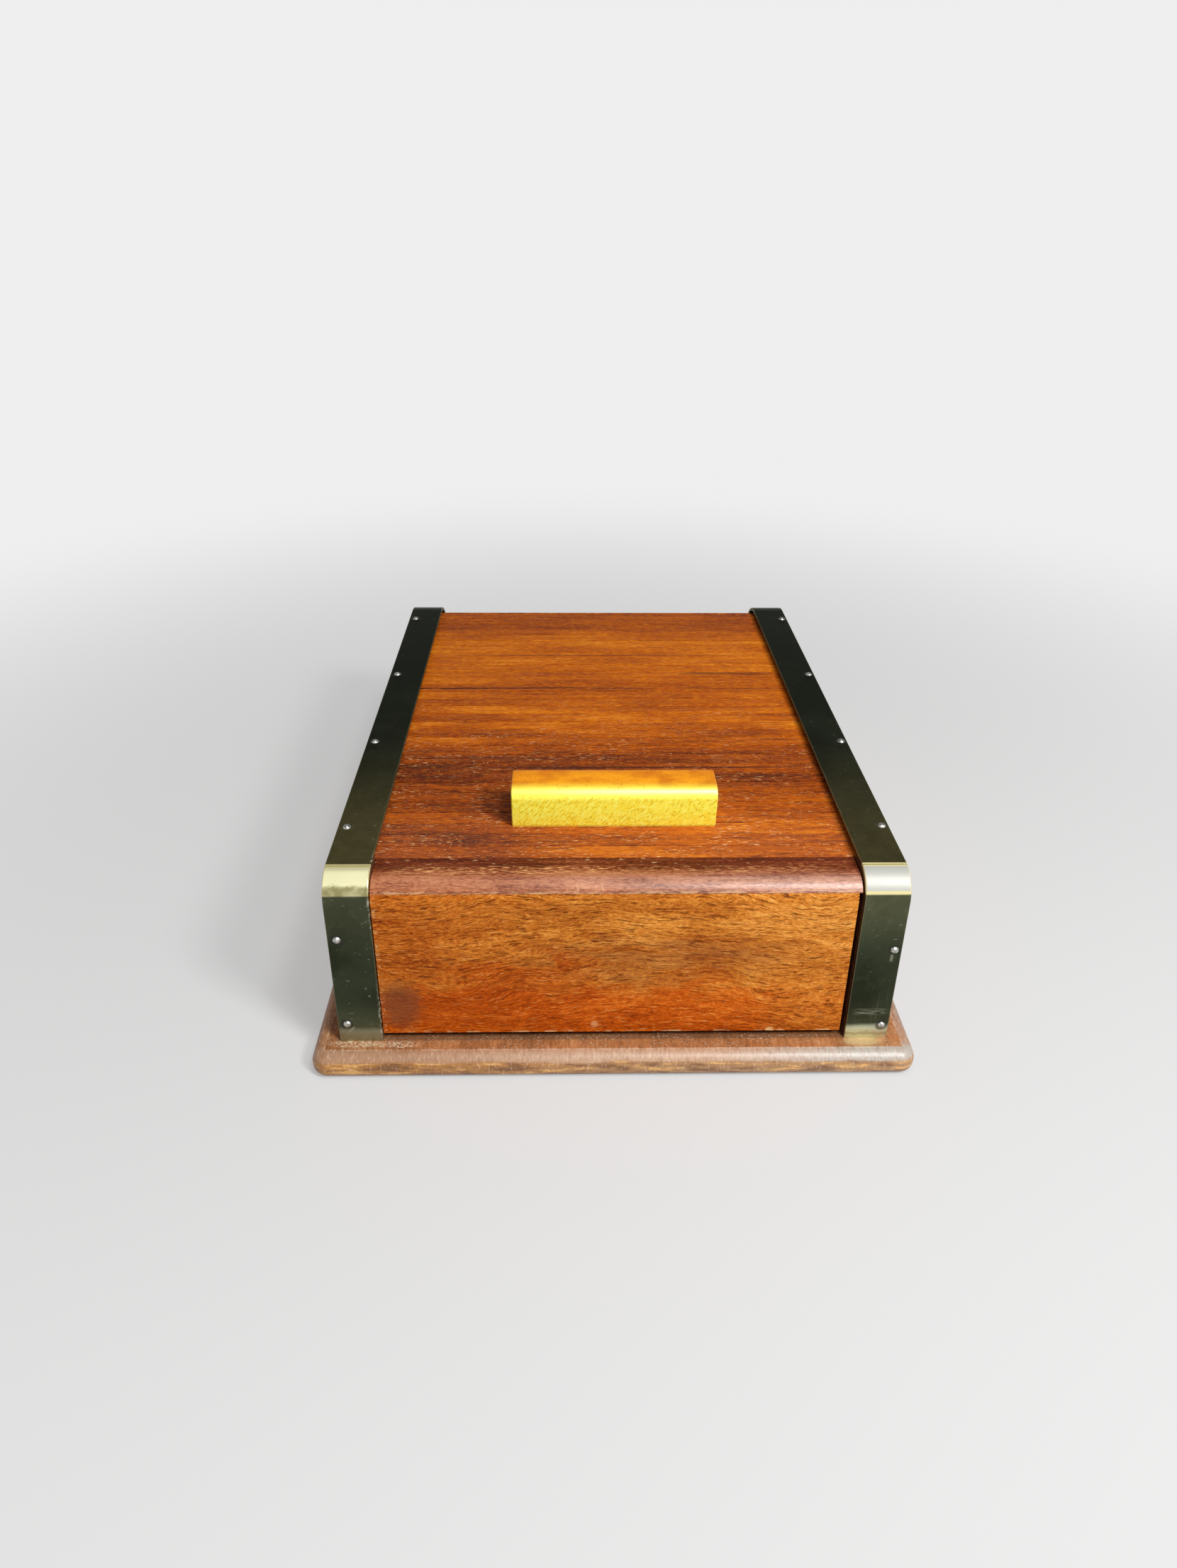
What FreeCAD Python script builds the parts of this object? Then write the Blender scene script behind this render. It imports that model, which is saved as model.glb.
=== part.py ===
"""Roll-top drawer box: a brass-bound mahogany case on a moulded plinth.

The top is a curtain of narrow slats glued to cloth. Pushing its handle back slides the curtain
under the lips of the two brass strips, round the back and under the case, where its end is
fixed to a drawer, so the drawer comes out of the front by the same amount.

Frame: millimetres, +X to the right, +Y to the back, +Z up, origin under the middle of the plinth.
"""
import FreeCAD
import Part
import Sketcher
import math
import os
import re
from FreeCAD import Placement, Rotation, Vector

SIZES = {
    # plinth
    "plinth_overhang": 7.9,
    "plinth_thick": 7.9,
    "plinth_corner": 5.0,
    "plinth_top_round": 4.0,
    "plinth_nose": 1.0,
    # case, measured over the brass
    "case_width": 162.0,
    "case_length": 228.6,
    "case_height": 56.8,
    "side_thick": 6.35,
    "lining_thick": 6.35,
    "stile_clearance": 0.4,
    "back_board_thick": 5.0,
    "back_board_clearance": 1.5,
    # brass strips and their pins
    "strip_width": 12.7,
    "strip_thick": 1.2,
    "front_bend": 8.2,
    "rear_bend": 19.0,
    "left_pin_inset": 2.7,
    "right_pin_inset": 2.1,
    "pin_head_width": 2.4,
    "pin_head_height": 0.8,
    "pin_shank": 1.2,
    "pin_length": 9.0,
    "front_top_pin": 28.0,
    "front_middle_pin": 83.0,
    "rear_middle_pin": 89.1,
    "rear_top_pin": 29.6,
    "left_pin_lift": 6.4,
    "left_pin_drop": 11.7,
    "right_pin_lift": 4.8,
    "right_pin_drop": 16.1,
    "rear_pin_lift": 6.0,
    "rear_pin_drop": 7.8,
    # curtain
    "slat_thick": 3.2,
    "slat_pitch": 6.35,
    "slat_joint": 0.25,
    "slat_arris": 0.3,
    "slat_end_clearance": 0.75,
    "lip_clearance": 1.3,
    "track_clearance": 0.15,
    "floor_clearance": 0.6,
    "cloth_thick": 0.5,
    "cloth_margin": 0.8,
    "curtain_tail": 30.8,
    "front_slats": 14,
    # drawer
    "front_recess": 0.8,
    "front_thick": 12.7,
    "front_lift": 2.2,
    "front_gap_left": 0.15,
    "front_gap_right": 1.4,
    "nosing_gap_right": 0.4,
    "nosing_depth": 14.2,
    "nosing_thick": 3.2,
    "nosing_round": 6.0,
    "drawer_headroom": 4.8,
    "drawer_side_gap": 1.5,
    "drawer_side_thick": 7.0,
    "drawer_back_thick": 6.0,
    "drawer_floor_thick": 3.0,
    "drawer_floor_lift": 6.5,
    "floor_housing": 3.0,
    "housing_clearance": 0.1,
    # runners
    "runner_height": 6.0,
    "runner_reach": 3.0,
    "runner_clearance": 0.2,
    "runner_tip_clearance": 0.4,
    "runner_lift": 24.5,
    "runner_front_setback": 1.0,
    "runner_rear_setback": 6.3,
    "runner_screw_inset": 18.0,
    # curtain's end bar and the block that stops it
    "bar_width": 8.0,
    "bar_screw_spacing": 50.0,
    "stop_length": 30.0,
    "stop_width": 8.0,
    "stop_gap": 0.3,
    "stop_headroom": 0.4,
    # handle
    "handle_length": 60.8,
    "handle_width": 15.4,
    "handle_height": 12.8,
    "handle_undercut": 1.0,
    "handle_round": 3.5,
    "handle_arris": 0.5,
    "handle_setback": 31.0,
    "handle_screw_spacing": 36.0,
    # screws
    "screw_clearance": 0.05,
    "slot_width": 0.6,
    "slot_depth": 0.5,
    "plinth_screw_shank": 2.8,
    "plinth_screw_head": 5.4,
    "plinth_screw_bite": 14.5,
    "plinth_screw_inset": 34.3,
    "runner_screw_shank": 2.0,
    "runner_screw_head": 4.0,
    "runner_screw_cover": 2.0,
    "handle_screw_shank": 2.0,
    "handle_screw_head": 4.0,
    "handle_screw_cover": 5.0,
    "bar_screw_shank": 2.0,
    "bar_screw_head": 4.0,
    "bar_screw_cover": 1.2,
}

PLACES = {
    # case planes
    "half_width": "case_width / 2",
    "half_length": "case_length / 2",
    "case_top": "plinth_thick + case_height",
    "panel_inner": "half_width - side_thick",
    "lining_inner": "panel_inner - lining_thick",
    "panel_end": "half_length - strip_thick",
    "panel_top": "case_top - strip_thick",
    "panel_front_round": "front_bend - strip_thick",
    "panel_rear_round": "rear_bend - strip_thick",
    "strip_inner": "half_width - strip_width",
    "plinth_under_round": "plinth_thick - plinth_top_round - plinth_nose",
    "plinth_half_width": "half_width + plinth_overhang",
    "plinth_half_length": "half_length + plinth_overhang",
    # curtain path, along the inner faces of the slats
    "slat_top": "panel_top - lip_clearance",
    "slat_low": "slat_top - slat_thick",
    "slat_reach": "panel_inner - slat_end_clearance",
    "bend_round": "panel_rear_round - lip_clearance - slat_thick",
    "curtain_rear": "panel_end - lip_clearance - slat_thick",
    "bend_middle": "curtain_rear - bend_round",
    "floor_line": "plinth_thick + floor_clearance + slat_thick",
    "upper_bend_middle": "slat_low - bend_round",
    "lower_bend_middle": "floor_line + bend_round",
    "cloth_half_width": "lining_inner - cloth_margin",
    # drawer planes
    "front_face": "-half_length + front_recess",
    "front_back": "front_face + front_thick",
    "front_low": "plinth_thick + front_lift",
    "front_left": "-lining_inner + front_gap_left",
    "front_right": "lining_inner - front_gap_right",
    "nosing_right": "lining_inner - nosing_gap_right",
    "nosing_rear": "front_face + nosing_depth",
    "nosing_low": "slat_top - nosing_thick",
    "seam": "nosing_rear + slat_joint / 2",
    "flat_slats": "floor((bend_middle - seam) / slat_pitch)",
    "travel": "(flat_slats - front_slats) * slat_pitch",
    "drawer_rear": "bend_middle - curtain_tail",
    "drawer_low": "floor_line",
    "drawer_top": "slat_low - cloth_thick - drawer_headroom",
    "drawer_outer": "lining_inner - drawer_side_gap",
    "drawer_inner": "drawer_outer - drawer_side_thick",
    "drawer_back_front": "drawer_rear - drawer_back_thick",
    "drawer_floor_low": "drawer_low + drawer_floor_lift",
    "drawer_floor_top": "drawer_floor_low + drawer_floor_thick",
    # lining and its tracks
    "lining_top": "slat_low - track_clearance",
    "lining_low": "floor_line + track_clearance",
    "lining_rear": "curtain_rear - track_clearance",
    "lining_round": "bend_round - track_clearance",
    "stile_rear": "nosing_rear - stile_clearance",
    "board_top": "slat_low - cloth_thick - back_board_clearance",
    "board_low": "floor_line + cloth_thick + back_board_clearance",
    # runners
    "runner_low": "plinth_thick + runner_lift",
    "runner_high": "runner_low + runner_height",
    "runner_middle": "runner_low + runner_height / 2",
    "runner_tip": "drawer_outer - runner_reach",
    "runner_front": "front_back + runner_front_setback",
    "runner_rear": "drawer_rear - runner_rear_setback",
    "groove_floor": "runner_tip - runner_tip_clearance",
    # end bar and stop
    "bar_front": "drawer_rear - bar_width",
    "bar_low": "plinth_thick + floor_clearance",
    "bar_screw_line": "drawer_rear - drawer_back_thick / 2",
    "stop_rear": "bar_front - travel - stop_gap",
    # handle
    "handle_front": "-half_length + handle_setback",
    "handle_rear": "handle_front + handle_width",
    "handle_top": "slat_top + handle_height",
    # screws end inside what they hold
    "plinth_screw_length": "plinth_thick + plinth_screw_bite",
    "plinth_screw_line": "half_length - plinth_screw_inset",
    "runner_screw_length": "panel_inner - runner_tip - runner_screw_cover",
    "handle_screw_length": "handle_top - slat_low - handle_screw_cover",
    "bar_screw_length": "drawer_floor_low - bar_low - bar_screw_cover",
    # pin head as a cap of a sphere
    "pin_ball": "(pin_head_width ^ 2 / 4 + pin_head_height ^ 2) / (2 * pin_head_height)",
    "pin_cut": "asin(1 - pin_head_height / pin_ball)",
}

doc = FreeCAD.newDocument("RollTopBox")
sheet = doc.addObject("Spreadsheet::Sheet", "Sizes")
pieces = {}


def fill_sheet():
    """Put the sizes and the places worked out from them into the sheet, one alias each."""
    rows = [(name, str(size)) for name, size in SIZES.items()]
    rows += [(name, "=" + text) for name, text in PLACES.items()]
    for row, (name, content) in enumerate(rows, start=1):
        sheet.set(f"A{row}", name)
        sheet.set(f"B{row}", content)
        sheet.setAlias(f"B{row}", name)
    doc.recompute()


def number(text):
    """Value of a formula written in the sheet's words."""
    return float(sheet.evalExpression(text))


def formula(text):
    """The same formula as seen from another object."""
    return re.sub(r"[a-z_]{3,}", lambda word: "Sizes." + word.group(), text)


def bind(item, formulas):
    for name, text in formulas.items():
        item.setExpression(name, formula(text))


def add(kind, name, formulas):
    item = doc.addObject(kind, name)
    bind(item, formulas)
    return item


def keep(label, item):
    """Name a finished sub-part."""
    item.Label = label
    pieces[label] = item
    return item


def block(name, low, high):
    """Box between two corners, each given as three formulas."""
    formulas = {}
    for side, axis, start, end in zip(("Length", "Width", "Height"), "xyz", low, high):
        formulas[side] = f"({end}) - ({start})"
        formulas["Placement.Base." + axis] = start
    return add("Part::Box", name, formulas)


def across(sign, inner, outer):
    """Formulas for a span in X on the left (-1) or right (+1) of the middle."""
    return (inner, outer) if sign > 0 else (f"-({outer})", f"-({inner})")


def joined(kind, name, base, tool):
    item = doc.addObject(kind, name)
    item.Base = base
    item.Tool = tool
    return item


def group(name, members):
    item = doc.addObject("Part::Compound", name)
    item.Links = members
    return item


def outline(body, role, corners):
    """Closed sketch on one of the body's planes, its corners going anticlockwise.

    A corner is (across, up, radius): two formulas and the formula of its rounding or None.
    Sides lie along the axes, apart from slanted ones between two sharp corners.
    """
    sketch = body.newObject("Sketcher::SketchObject", body.Name + "_outline")
    plane = next(item for item in body.Origin.OriginFeatures if item.Role == role)
    sketch.AttachmentSupport = (plane, [""])
    sketch.MapMode = "FlatFace"
    count = len(corners)
    points = [Vector(number(across), number(up), 0) for across, up, radius in corners]
    starts, ends, arcs = [], [], []
    for index, (point, (_, _, radius)) in enumerate(zip(points, corners)):
        back = (points[index - 1] - point).normalize()
        ahead = (points[(index + 1) % count] - point).normalize()
        reach = number(radius) if radius else 0.0
        starts.append(point + back * reach)
        ends.append(point + ahead * reach)
        arcs.append(None)
        if radius:
            middle = point + (back + ahead) * reach
            left_turn = back.cross(ahead).z < 0
            arcs[index] = arc_of(sketch, middle, reach, starts[index], ends[index], left_turn)
    lines = []
    for index in range(count):
        after = (index + 1) % count
        lines.append(sketch.addGeometry(Part.LineSegment(ends[index], starts[after])))

    def fix(kind, line, end, value, text):
        found = sketch.addConstraint(Sketcher.Constraint(kind, -1, 1, line, end, value))
        name = f"{kind}_{line}_{end}"
        sketch.renameConstraint(found, name)
        sketch.setExpression("Constraints." + name, formula(text))

    for index, line in enumerate(lines):
        corner, following = corners[index], corners[(index + 1) % count]
        before = corners[index - 1]
        arc = arcs[(index + 1) % count]
        next_line = lines[(index + 1) % count]
        if arc:
            rounded, first, last = arc
            sketch.addConstraint(Sketcher.Constraint("Tangent", line, 2, rounded, first))
            sketch.addConstraint(Sketcher.Constraint("Tangent", rounded, last, next_line, 1))
            size = number(following[2])
            found = sketch.addConstraint(Sketcher.Constraint("Radius", rounded, size))
            sketch.renameConstraint(found, f"Radius_{rounded}")
            sketch.setExpression(f"Constraints.Radius_{rounded}", formula(following[2]))
        else:
            sketch.addConstraint(Sketcher.Constraint("Coincident", line, 2, next_line, 1))
        level = corner[1] == following[1]
        upright = corner[0] == following[0]
        if level:
            sketch.addConstraint(Sketcher.Constraint("Horizontal", line))
            fix("DistanceY", line, 1, number(corner[1]), corner[1])
        elif upright:
            sketch.addConstraint(Sketcher.Constraint("Vertical", line))
            fix("DistanceX", line, 1, number(corner[0]), corner[0])
        else:
            met_level = before[1] == corner[1]
            kind, text = ("DistanceX", corner[0]) if met_level else ("DistanceY", corner[1])
            fix(kind, line, 1, number(text), text)
            leaves = corners[(index + 2) % count]
            leaves_level = leaves[1] == following[1]
            kind, text = ("DistanceX", following[0]) if leaves_level else ("DistanceY", following[1])
            fix(kind, line, 2, number(text), text)
    return sketch


def arc_of(sketch, middle, radius, start, end, left_turn):
    """Add a quarter round and say which of its ends comes first along the outline."""
    first, last = (start, end) if left_turn else (end, start)
    angles = [math.atan2(*(point - middle)[1::-1]) for point in (first, last)]
    if angles[1] < angles[0]:
        angles[1] += 2 * math.pi
    circle = Part.Circle(middle, Vector(0, 0, 1), radius)
    index = sketch.addGeometry(Part.ArcOfCircle(circle, *angles))
    return (index, 1, 2) if left_turn else (index, 2, 1)


def padded(name, role, corners, length, shift=None):
    """Body padded from an outline, moved by formulas for its placement."""
    body = doc.addObject("PartDesign::Body", name)
    pad = body.newObject("PartDesign::Pad", name + "_pad")
    pad.Profile = outline(body, role, corners)
    bind(pad, {"Length": length})
    bind(body, {"Placement.Base." + axis: text for axis, text in (shift or {}).items()})
    body.Tip = pad
    return body, pad


def rounded_edges(body, base, names, radius):
    fillet = body.newObject("PartDesign::Fillet", f"{body.Name}_{radius}")
    fillet.Base = (base, names)
    bind(fillet, {"Radius": radius})
    body.Tip = fillet
    doc.recompute()
    return fillet


def level_face(feature, highest):
    """Name of the feature's top or bottom face."""
    faces = enumerate(feature.Shape.Faces, start=1)
    pick = max if highest else min
    return f"Face{pick(faces, key=lambda item: item[1].CenterOfMass.z)[0]}"


def placed(item, at, turn):
    """Turn an object and bind its place to three formulas."""
    item.Placement = Placement(Vector(), turn)
    bind(item, {"Placement.Base." + axis: text for axis, text in zip("xyz", at)})
    return item


def countersunk(name, kind, at, turn, hole=False):
    """A slotted countersunk screw going in along +Z before it is turned, or the hole for one."""
    grow = "screw_clearance" if hole else "0"
    head = add("Part::Cone", name + "_head", {
        "Radius1": f"{kind}_head / 2 + {grow}",
        "Radius2": f"{kind}_shank / 2 + {grow}",
        "Height": f"({kind}_head - {kind}_shank) / 2",
    })
    shank = add("Part::Cylinder", name + "_shank", {
        "Radius": f"{kind}_shank / 2 + {grow}",
        "Height": f"{kind}_length + {grow}",
    })
    screw = joined("Part::Fuse", name + "_whole", head, shank)
    if not hole:
        reach = f"{kind}_head"
        low, high = (f"-{reach}", "-slot_width / 2", "0"), (reach, "slot_width / 2", "slot_depth")
        slot = block(name + "_slot", low, high)
        screw = joined("Part::Cut", name, screw, slot)
    return placed(screw, at, turn)


def screw_set(label, kind, places):
    """Screws of one kind as one sub-part, and a group of the holes for them."""
    screws = [countersunk(f"{label}_{n}", kind, *place) for n, place in enumerate(places)]
    holes = [countersunk(f"{label}_hole_{n}", kind, *place, True) for n, place in enumerate(places)]
    keep(label, group(label, screws))
    return group(label + "_holes", holes)


def drilled(label, base, holes):
    return keep(label, joined("Part::Cut", label, base, holes))


UPWARD = Rotation()
DOWNWARD = Rotation(Vector(1, 0, 0), 180)
FORWARD = Rotation(Vector(1, 0, 0), 90)
BACKWARD = Rotation(Vector(1, 0, 0), -90)
TO_LEFT = Rotation(Vector(0, 1, 0), -90)
TO_RIGHT = Rotation(Vector(0, 1, 0), 90)
SIDES = (("left", -1), ("right", 1))
SAME = 1e-6


def make_plinth():
    half_width, half_length = "plinth_half_width", "plinth_half_length"
    corner = "plinth_corner"
    body, pad = padded("plinth_board", "XY_Plane", [
        (f"-{half_width}", f"-{half_length}", corner),
        (half_width, f"-{half_length}", corner),
        (half_width, half_length, corner),
        (f"-{half_width}", half_length, corner),
    ], "plinth_thick")
    doc.recompute()
    top = rounded_edges(body, pad, [level_face(pad, True)], "plinth_top_round")
    rounded_edges(body, top, [level_face(top, False)], "plinth_under_round")
    places = []
    for sign in (-1, 1):
        for step in (-1, 0, 1):
            across_at = f"{sign} * (half_width - side_thick / 2)"
            places.append(((across_at, f"{step} * plinth_screw_line", "0"), UPWARD))
    holes = screw_set("plinth_screws", "plinth_screw", places)
    drilled("plinth", body, holes)
    return holes


def pin_hole(name, at, turn):
    return placed(add("Part::Cylinder", name, {
        "Radius": "pin_shank / 2 + screw_clearance",
        "Height": "pin_length + screw_clearance",
    }), at, turn)


def strip_pin(name, at, turn):
    """Domed pin going in along +Z before it is turned, its head seated on z = 0."""
    shank = add("Part::Cylinder", name + "_shank", {"Radius": "pin_shank / 2", "Height": "pin_length"})
    head = add("Part::Sphere", name + "_head", {
        "Radius": "pin_ball",
        "Angle2": "-pin_cut",
        "Placement.Base.z": "pin_ball - pin_head_height",
    })
    return placed(joined("Part::Fuse", name, shank, head), at, turn)


def pin_places(side, sign):
    line = f"{sign} * (half_width - {side}_pin_inset)"
    along = [
        "-half_length + front_top_pin",
        "-half_length + front_middle_pin",
        "half_length - rear_middle_pin",
        "half_length - rear_top_pin",
    ]
    places = [((line, distance, "case_top"), DOWNWARD) for distance in along]
    places.append(((line, "-half_length", f"plinth_thick + {side}_pin_lift"), BACKWARD))
    places.append(((line, "-half_length", f"case_top - front_bend - {side}_pin_drop"), BACKWARD))
    places.append(((line, "half_length", "plinth_thick + rear_pin_lift"), FORWARD))
    places.append(((line, "half_length", "case_top - rear_bend - rear_pin_drop"), FORWARD))
    return places


def make_side(side, sign, plinth_holes):
    """One side of the case: outer panel, lining that carries the curtain, brass strip and pins."""
    places = pin_places(side, sign)
    pins = [strip_pin(f"{side}_pin_{n}", *place) for n, place in enumerate(places)]
    holes = [pin_hole(f"{side}_pin_hole_{n}", *place) for n, place in enumerate(places)]
    keep(f"{side}_strip_pins", group(f"{side}_strip_pins", pins))
    pin_holes = group(f"{side}_pin_holes", holes)

    panel, _ = padded(f"{side}_panel", "YZ_Plane", [
        ("-panel_end", "plinth_thick", None),
        ("panel_end", "plinth_thick", None),
        ("panel_end", "panel_top", "panel_rear_round"),
        ("-panel_end", "panel_top", "panel_front_round"),
    ], "side_thick", {"x": across(sign, "panel_inner", "half_width")[0]})
    pinned = joined("Part::Cut", f"{side}_panel_pinned", panel, pin_holes)
    drilled(f"{side}_side_panel", pinned, plinth_holes)

    strip, _ = padded(f"{side}_strip", "YZ_Plane", [
        ("-half_length", "plinth_thick", None),
        ("-panel_end", "plinth_thick", None),
        ("-panel_end", "panel_top", "panel_front_round"),
        ("panel_end", "panel_top", "panel_rear_round"),
        ("panel_end", "plinth_thick", None),
        ("half_length", "plinth_thick", None),
        ("half_length", "case_top", "rear_bend"),
        ("-half_length", "case_top", "front_bend"),
    ], "strip_width", {"x": across(sign, "strip_inner", "half_width")[0]})
    drilled(f"{side}_brass_strip", strip, pin_holes)


def make_lining(side, sign, runner_holes):
    """Inner wall with a full-height stile at the front and a rounded track edge behind it."""
    shift = {"x": across(sign, "lining_inner", "panel_inner")[0]}
    track, _ = padded(f"{side}_track", "YZ_Plane", [
        ("stile_rear", "lining_low", None),
        ("lining_rear", "lining_low", "lining_round"),
        ("lining_rear", "lining_top", "lining_round"),
        ("stile_rear", "lining_top", None),
    ], "lining_thick", shift)
    stile, _ = padded(f"{side}_stile", "YZ_Plane", [
        ("-panel_end", "plinth_thick", None),
        ("stile_rear", "plinth_thick", None),
        ("stile_rear", "panel_top", None),
        ("-panel_end", "panel_top", "panel_front_round"),
    ], "lining_thick", shift)
    whole = joined("Part::Fuse", f"{side}_lining_whole", track, stile)
    drilled(f"{side}_lining", whole, runner_holes)


def make_runners():
    places = []
    for sign, turn in ((-1, TO_LEFT), (1, TO_RIGHT)):
        for at in ("runner_front + runner_screw_inset", "runner_rear - runner_screw_inset"):
            places.append(((f"{sign} * runner_tip", at, "runner_middle"), turn))
    holes = screw_set("runner_screws", "runner_screw", places)
    for side, sign in SIDES:
        low, high = across(sign, "runner_tip", "lining_inner")
        front, rear = (low, "runner_front", "runner_low"), (high, "runner_rear", "runner_high")
        rail = block(f"{side}_rail", front, rear)
        drilled(f"{side}_runner", rail, holes)
        make_lining(side, sign, holes)


def make_back_board():
    """Board between the linings that ties the case together inside the curtain's bends."""
    low = ("-lining_inner", "bend_middle - back_board_thick", "board_low")
    high = ("lining_inner", "bend_middle", "board_top")
    keep("back_board", block("back_board", low, high))


def make_housing():
    """Space of the drawer's floor and its play in the grooves that house it."""
    reach = "drawer_inner + floor_housing"
    play = "housing_clearance"
    return block(
        "floor_housing",
        (f"-({reach})", "front_back - floor_housing", f"drawer_floor_low - {play}"),
        (reach, "drawer_back_front + floor_housing", f"drawer_floor_top + {play}"),
    )


def make_drawer_front(housing):
    """Front board and the nosing on its top edge, one rounded profile parted at the glue line."""
    front, _ = padded("front_profile", "YZ_Plane", [
        ("front_face", "front_low", None),
        ("front_back", "front_low", None),
        ("front_back", "nosing_low", None),
        ("nosing_rear", "nosing_low", None),
        ("nosing_rear", "slat_top", None),
        ("front_face", "slat_top", "nosing_round"),
    ], "lining_inner - front_left", {"x": "front_left"})
    low, high = ("front_left", "front_face", "nosing_low"), ("nosing_right", "nosing_rear", "slat_top")
    above = block("nosing_zone", low, high)
    keep("drawer_nosing", joined("Part::Common", "drawer_nosing", front, above))
    low, high = ("front_left", "front_face", "front_low"), ("front_right", "front_back", "nosing_low")
    below = block("board_zone", low, high)
    board = joined("Part::Common", "front_board", front, below)
    keep("drawer_front", joined("Part::Cut", "drawer_front", board, housing))


def make_drawer_box(housing, bar_holes):
    """Sides, back and floor of the drawer behind its front."""
    for side, sign in SIDES:
        low, high = across(sign, "drawer_inner", "drawer_outer")
        wall = block(f"{side}_wall", (low, "front_back", "drawer_low"), (high, "drawer_rear", "drawer_top"))
        low, high = across(sign, "groove_floor", "drawer_outer")
        start, end = "runner_low - runner_clearance", "runner_high + runner_clearance"
        groove = block(f"{side}_groove", (low, "front_back", start), (high, "drawer_rear", end))
        grooved = joined("Part::Cut", f"{side}_wall_grooved", wall, groove)
        keep(f"drawer_{side}_side", joined("Part::Cut", f"drawer_{side}_side", grooved, housing))
    start, end = "drawer_back_front", "drawer_rear"
    wall = block("back_wall", ("-drawer_inner", start, "drawer_low"), ("drawer_inner", end, "drawer_top"))
    housed = joined("Part::Cut", "back_wall_housed", wall, housing)
    drilled("drawer_back", housed, bar_holes)
    play = "housing_clearance"
    reach = f"drawer_inner + floor_housing - {play}"
    low = (f"-({reach})", f"front_back - floor_housing + {play}", "drawer_floor_low")
    high = (reach, f"drawer_back_front + floor_housing - {play}", "drawer_floor_top")
    keep("drawer_bottom", block("drawer_bottom", low, high))


def make_end_bar():
    """Bar at the curtain's end, screwed up into the drawer's back, and the block that stops it."""
    places = [((f"{step} * bar_screw_spacing", "bar_screw_line", "bar_low"), UPWARD) for step in (-1, 0, 1)]
    holes = screw_set("pull_bar_screws", "bar_screw", places)
    bar = block("bar", ("-slat_reach", "bar_front", "bar_low"), ("slat_reach", "drawer_rear", "drawer_low"))
    drilled("pull_bar", bar, holes)
    half = "stop_length / 2"
    low = (f"-{half}", "stop_rear - stop_width", "plinth_thick")
    high = (half, "stop_rear", "drawer_low - stop_headroom")
    keep("stop_block", block("stop_block", low, high))
    return holes


def slat_body(name, shift):
    """One slat, its front edge on y = 0 and its inner face on z = 0, with eased outer edges."""
    body, _ = padded(name, "YZ_Plane", [
        ("slat_joint / 2", "-slat_arris", None),
        ("slat_pitch - slat_joint / 2", "-slat_arris", None),
        ("slat_pitch - slat_joint / 2", "slat_thick - 2 * slat_arris", None),
        ("slat_pitch - slat_joint / 2 - slat_arris", "slat_thick - slat_arris", None),
        ("slat_joint / 2 + slat_arris", "slat_thick - slat_arris", None),
        ("slat_joint / 2", "slat_thick - 2 * slat_arris", None),
    ], "2 * slat_reach", shift)
    return body


def curtain_place(distance):
    """Placement on the curtain's path of a slat whose middle is this far from the front seam."""
    low, top = number("floor_line"), number("slat_low")
    middle, radius = number("bend_middle"), number("bend_round")
    quarter = radius * math.pi / 2
    flat, drop = middle - number("seam"), top - low - 2 * radius
    if distance <= flat:
        return number("seam") + distance, top, 0.0
    if distance <= flat + quarter:
        angle = (distance - flat) / radius
        return middle + radius * math.sin(angle), top - radius * (1 - math.cos(angle)), angle
    if distance <= flat + quarter + drop:
        return middle + radius, top - radius - (distance - flat - quarter), math.pi / 2
    if distance <= flat + 2 * quarter + drop:
        angle = math.pi / 2 + (distance - flat - quarter - drop) / radius
        return middle + radius * math.sin(angle), low + radius * (1 + math.cos(angle)), angle
    return middle - (distance - flat - 2 * quarter - drop), low, math.pi


def slat_group(label, pattern, numbers):
    """Slats that follow the curtain's path where it bends, as one sub-part of separate solids."""
    pitch, lift = number("slat_pitch"), number("slat_arris")
    solids = []
    for index in numbers:
        along, up, angle = curtain_place((index + 0.5) * pitch)
        turn = Rotation(Vector(1, 0, 0), -math.degrees(angle))
        offset = turn.multVec(Vector(0, -pitch / 2, lift))
        slat = pattern.Shape.copy()
        slat.Placement = Placement(Vector(0, along, up) + offset, turn).multiply(
            Placement(Vector(-number("slat_reach"), 0, 0), Rotation()))
        solids.append(slat)
    item = doc.addObject("Part::Feature", label)
    item.Shape = Part.makeCompound(solids)
    keep(label, item)


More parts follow.
